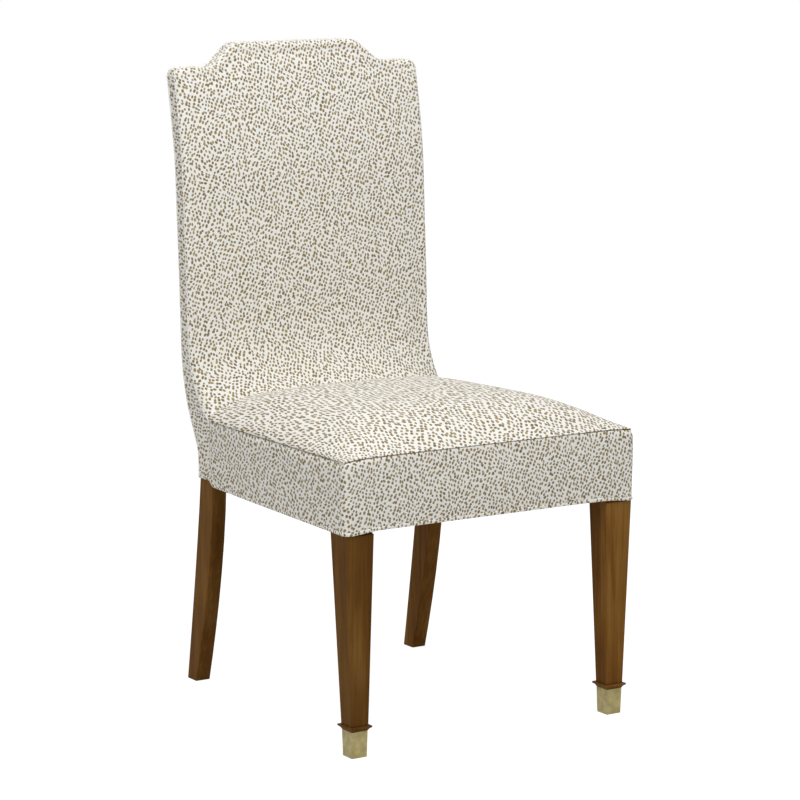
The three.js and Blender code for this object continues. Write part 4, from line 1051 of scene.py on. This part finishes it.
def side_panel(side, word):
    """The narrow panel up the side of the back, from the hem to the shoulder."""
    z = np.linspace(BACK_PANEL_FOOT, BACK_CORNER_HEIGHT, STRIP_LINES)[:, None]
    depth, puff = strip_depth(side_seam_depth(z), rear_seam_depth(z))
    off = z - CREASE_HEIGHT + CREASE_SLOPE * (depth - depth.max())
    reach = share(depth, depth[:, :1] + CREASE_INSET, depth[:, -1:])
    crease = CREASE_DEPTH * np.exp(-((off / CREASE_HALF_HEIGHT) ** 2)) * reach
    points = place(side * (BACK_HALF_WIDTH + puff - crease), depth, z)
    made = panel(
        f"side_panel_cover_{word}", f"side_panel_{word}", points, (0, 0.2, 0.6),
        lambda p: p.z < (BACK_CORNER_HEIGHT - EDGE_TOLERANCE) * MM, spread=(1.0, BACK_SIDE_SPREAD))
    stretched(made)


def crest_strip():
    """The strip over the crest, between the inside and the outside of the back."""
    line, run = resampled(CREST, STRIP_LINES)
    run[[0, -1]] = (0, 1), (0, -1)
    (x, z), (run_x, run_z) = line.T[:, :, None], run.T[:, :, None]
    depth, puff = strip_depth(front_seam_depth(z), rear_seam_depth(z))
    points = place(x - run_z * puff, depth, z + run_x * puff)
    made = panel(
        "crest_strip_cover", "crest_strip", points, (0, 0.2, 0.6),
        lambda p: p.z > (BACK_CORNER_HEIGHT + EDGE_TOLERANCE) * MM)
    stretched(made)


# Light stitches along the seams of the back
def stitches(name, points):
    """A row of short plump stitches along a line of points."""
    count = int(distances(points)[-1] / (STITCH_PITCH * MM)) + 1
    centres, runs = resampled(points, count)
    sides = range(STITCH_SIDES)
    turns = np.linspace(0, 2 * math.pi, STITCH_SIDES, endpoint=False)
    verts, faces = [], []
    for centre, run in zip(centres, runs):
        first = np.cross(run, (0.31, 0.22, 0.92) if abs(run[2]) < 0.9 else (1.0, 0.1, 0.0))
        first /= np.linalg.norm(first)
        second = np.cross(run, first)
        base = len(verts)
        for place_share, radius_share in STITCH_SHARES:
            middle = centre + run * place_share * STITCH_LENGTH * MM
            radius = STITCH_RADIUS * radius_share * MM
            verts += [middle + radius * (math.cos(a) * first + math.sin(a) * second) for a in turns]
        last = len(verts) - STITCH_SIDES
        for low in range(base, last, STITCH_SIDES):
            for k in sides:
                ahead = (k + 1) % STITCH_SIDES
                faces.append((low + k, low + ahead, low + STITCH_SIDES + ahead, low + STITCH_SIDES + k))
        faces.append(tuple(base + k for k in reversed(sides)))
        faces.append(tuple(last + k for k in sides))
    mesh = bpy.data.meshes.new(name)
    mesh.from_pydata([tuple(v) for v in verts], [], faces)
    return piece(name, mesh, THREAD)


def seam_stitches():
    """The stitches along the seams that part the sides of the back from its inside and its outside."""
    z = np.linspace(REAR_HEM_HEIGHT + HEM_BAND_HEIGHT + STITCH_FOOT, BACK_CORNER_HEIGHT, BACK_LINES)[:-1]
    x, top = CREST.T
    for name, side_depth, top_depth in (
        ("inside_back_stitches", side_seam_depth, front_seam_depth),
        ("outside_back_stitches", rear_seam_depth, rear_seam_depth),
    ):
        left = place(-BACK_HALF_WIDTH, side_depth(z), z)
        stitches(name, np.concatenate([left, place(x, top_depth(top), top), left[::-1] * (-1, 1, 1)]))


# Soft layers under the covers, and the cloths, as rounded copies of their solids
def ease(made, name, width, angle):
    """Rounds the edges at which a piece turns by more than an angle."""
    bevel = made.modifiers.new(name, "BEVEL")
    bevel.width = width * MM
    bevel.segments = 2
    bevel.limit_method = "ANGLE"
    bevel.angle_limit = math.radians(angle)


def soft_copy(name, node_name, material, slot, width=0.6, press=0.5, sink=0.0, inset=0.0):
    """A copy of a solid with edges of a width, pressed in all round, sunk, and drawn in at its sides."""
    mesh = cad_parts[node_name].data.copy()
    low, high = (Vector(corner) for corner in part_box(node_name))
    middle, half = (low + high) / 2, (high - low) / 2
    drawn = Matrix.Diagonal((1 - inset * MM / half.x, 1 - inset * MM / half.y, 1, 1))
    mesh.transform(Matrix.Translation(middle) @ drawn @ Matrix.Translation(-middle))
    mesh.transform(Matrix.Translation((0, 0, -sink * MM)))
    mesh.name = name
    mesh.materials.clear()
    work = bmesh.new()
    work.from_mesh(mesh)
    bmesh.ops.remove_doubles(work, verts=work.verts, dist=0.01 * MM)
    bmesh.ops.dissolve_limit(work, angle_limit=math.radians(0.5), verts=work.verts, edges=work.edges)
    bmesh.ops.triangulate(work, faces=work.faces)
    work.to_mesh(mesh)
    work.free()
    made = piece(name, mesh, material, [node_name], smooth=False)
    ease(made, "soft_edges", width, SOFT_ANGLE)
    if press:
        shrink = made.modifiers.new("pressed_in", "DISPLACE")
        shrink.strength = -press * MM
        shrink.mid_level = 0
    return made


def hidden_layers():
    for name, node_name, *sizes in (
        ("foam_seat", "seat_foam", 1.0, 2.0, 2.0, 3.0),
        ("foam_back", "back_foam", 0.8, 3.6),
        ("wadding_seat", "seat_wadding", 0.6, 0.5, 3.8, 4.0),
        ("wadding_border", "border_wadding", 0.6, 0.5, 2.8),
        ("wadding_outside_back", "outside_back_wadding"),
        ("wadding_side_left", "side_wadding_left"),
        ("wadding_side_right", "side_wadding_right"),
        ("wadding_crest", "crest_wadding"),
    ):
        slot = name.split("_")[0]
        material = FOAM if slot == "foam" else WADDING
        soft_copy(name, node_name, material, slot, *sizes)
    ways, straps = ("lengthwise", "crosswise"), range(1, 5)
    for k in straps:
        for way in ways:
            soft_copy(f"seat_webbing_{way}_{k}", f"seat_strap_{way}_{k}", WEBBING, "webbing", WEBBING_EDGE, 0.0)
        soft_copy(f"back_webbing_{k}", f"back_strap_{k}", WEBBING, "webbing", WEBBING_EDGE, 0.0)
    webbing = [f"seat_webbing_{way}_{k}" for way in ways for k in straps]
    rails = ["front_rail", "rear_rail", "side_rail_left", "side_rail_right"]
    for name, node_name, material, slot, rests_on in (
        ("hessian_seat", "seat_deck_cloth", HESSIAN, "hessian", webbing),
        ("hessian_back", "back_cloth", HESSIAN, "hessian", [f"back_webbing_{k}" for k in straps]),
        ("dust_cloth_panel", "dust_cover", DUST_CLOTH, "dust_cloth", rails),
    ):
        made = soft_copy(name, node_name, material, slot, CLOTH_EDGE, 0.0)


# Finishes and eased edges of the rigid parts
def smooth_group():
    """Smooth shading up to an angle, so that eased edges catch the light and faces stay flat."""
    group = bpy.data.node_groups.new("smooth_by_angle", "GeometryNodeTree")
    for way in ("INPUT", "OUTPUT"):
        group.interface.new_socket("Geometry", in_out=way, socket_type="NodeSocketGeometry")
    start, end, angle, flat, faces, edges = [group.nodes.new(kind) for kind in (
        "NodeGroupInput", "NodeGroupOutput", "GeometryNodeInputMeshEdgeAngle", "FunctionNodeCompare",
        "GeometryNodeSetShadeSmooth", "GeometryNodeSetShadeSmooth")]
    flat.operation = "LESS_THAN"
    flat.inputs[1].default_value = math.radians(SMOOTH_ANGLE)
    edges.domain = "EDGE"
    for outlet, inlet in (
        (angle.outputs["Unsigned Angle"], flat.inputs[0]), (start.outputs[0], faces.inputs["Geometry"]),
        (faces.outputs[0], edges.inputs["Geometry"]), (flat.outputs[0], edges.inputs["Shade Smooth"]),
        (edges.outputs[0], end.inputs[0]),
    ):
        group.links.new(outlet, inlet)
    return group


def rigid_finishes():
    smooth = smooth_group()
    for name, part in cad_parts.items():
        if part.hide_render:
            continue
        material, slot, width = next(finish for start, *finish in FINISHES if name.startswith(start))
        part.data.materials.clear()
        part.data.materials.append(material)
        part.modifiers.new("weld", "WELD").merge_threshold = 0.005 * MM
        ease(part, "eased_edges", width, EASED_ANGLE)
        part.modifiers.new("smooth", "NODES").node_group = smooth
        part.modifiers.new("normals", "WEIGHTED_NORMAL").keep_sharp = True


# The floor and world, which show white and let the chair keep its shadow and its light, and the lamps
def seen_rays(tree):
    """Whether a ray comes from the camera, or from it by way of gloss or glass."""
    path = node(tree, "LightPath")
    seen = maths(tree, "MAXIMUM", path.outputs["Is Camera Ray"], path.outputs["Is Glossy Ray"])
    return maths(tree, "MAXIMUM", seen, path.outputs["Is Transmission Ray"])


def grey(value):
    return (value, value, value, 1)


def make_floor():
    made, tree = new_material("floor")
    seen = seen_rays(tree)
    lit = node(tree, "BsdfDiffuse", {"Color": grey(FLOOR_LIT)}).outputs[0]
    faint = node(tree, "BsdfDiffuse", {"Color": grey(FLOOR_FAINT)}).outputs[0]
    glow = node(tree, "Emission", {"Color": grey(1), "Strength": FLOOR_GLOW}).outputs[0]
    shown = node(tree, "AddShader", {0: faint, 1: glow}).outputs[0]
    shader = node(tree, "MixShader", {0: seen, 1: lit, 2: shown}).outputs[0]
    finish_material(made, tree, shader)
    mesh = bpy.data.meshes.new("floor")
    far = FLOOR_REACH
    mesh.from_pydata([(-far, -far, 0), (far, -far, 0), (far, far, 0), (-far, far, 0)], [], [(0, 1, 2, 3)])
    mesh.materials.append(made)
    floor = bpy.data.objects.new("floor", mesh)
    COLLECTION.objects.link(floor)


def make_world():
    world = bpy.data.worlds.new("studio")
    bpy.context.scene.world = world
    world.use_nodes = True
    tree = world.node_tree
    tree.nodes.clear()
    seen = seen_rays(tree)
    lit = node(tree, "Background", {"Color": grey(1), "Strength": WORLD_LIT}).outputs[0]
    shown = node(tree, "Background", {"Color": grey(1), "Strength": 1.0}).outputs[0]
    shader = node(tree, "MixShader", {0: seen, 1: lit, 2: shown}).outputs[0]
    node(tree, "OutputWorld", {"Surface": shader})


def make_lamp(name, location, size, power):
    data = bpy.data.lights.new(name, "AREA")
    data.shape = "DISK"
    data.size = size
    data.energy = power
    aim(bpy.data.objects.new(name, data), location, LAMP_TARGET)


make_camera()
seat_top()
seat_border()
inside_back()
outside_back()
side_panel(-1, "left")
side_panel(1, "right")
crest_strip()
seam_stitches()
hidden_layers()
rigid_finishes()
make_floor()
make_world()
for lamp in LAMPS:
    make_lamp(*lamp)
bpy.context.scene.view_settings.view_transform = "Standard"
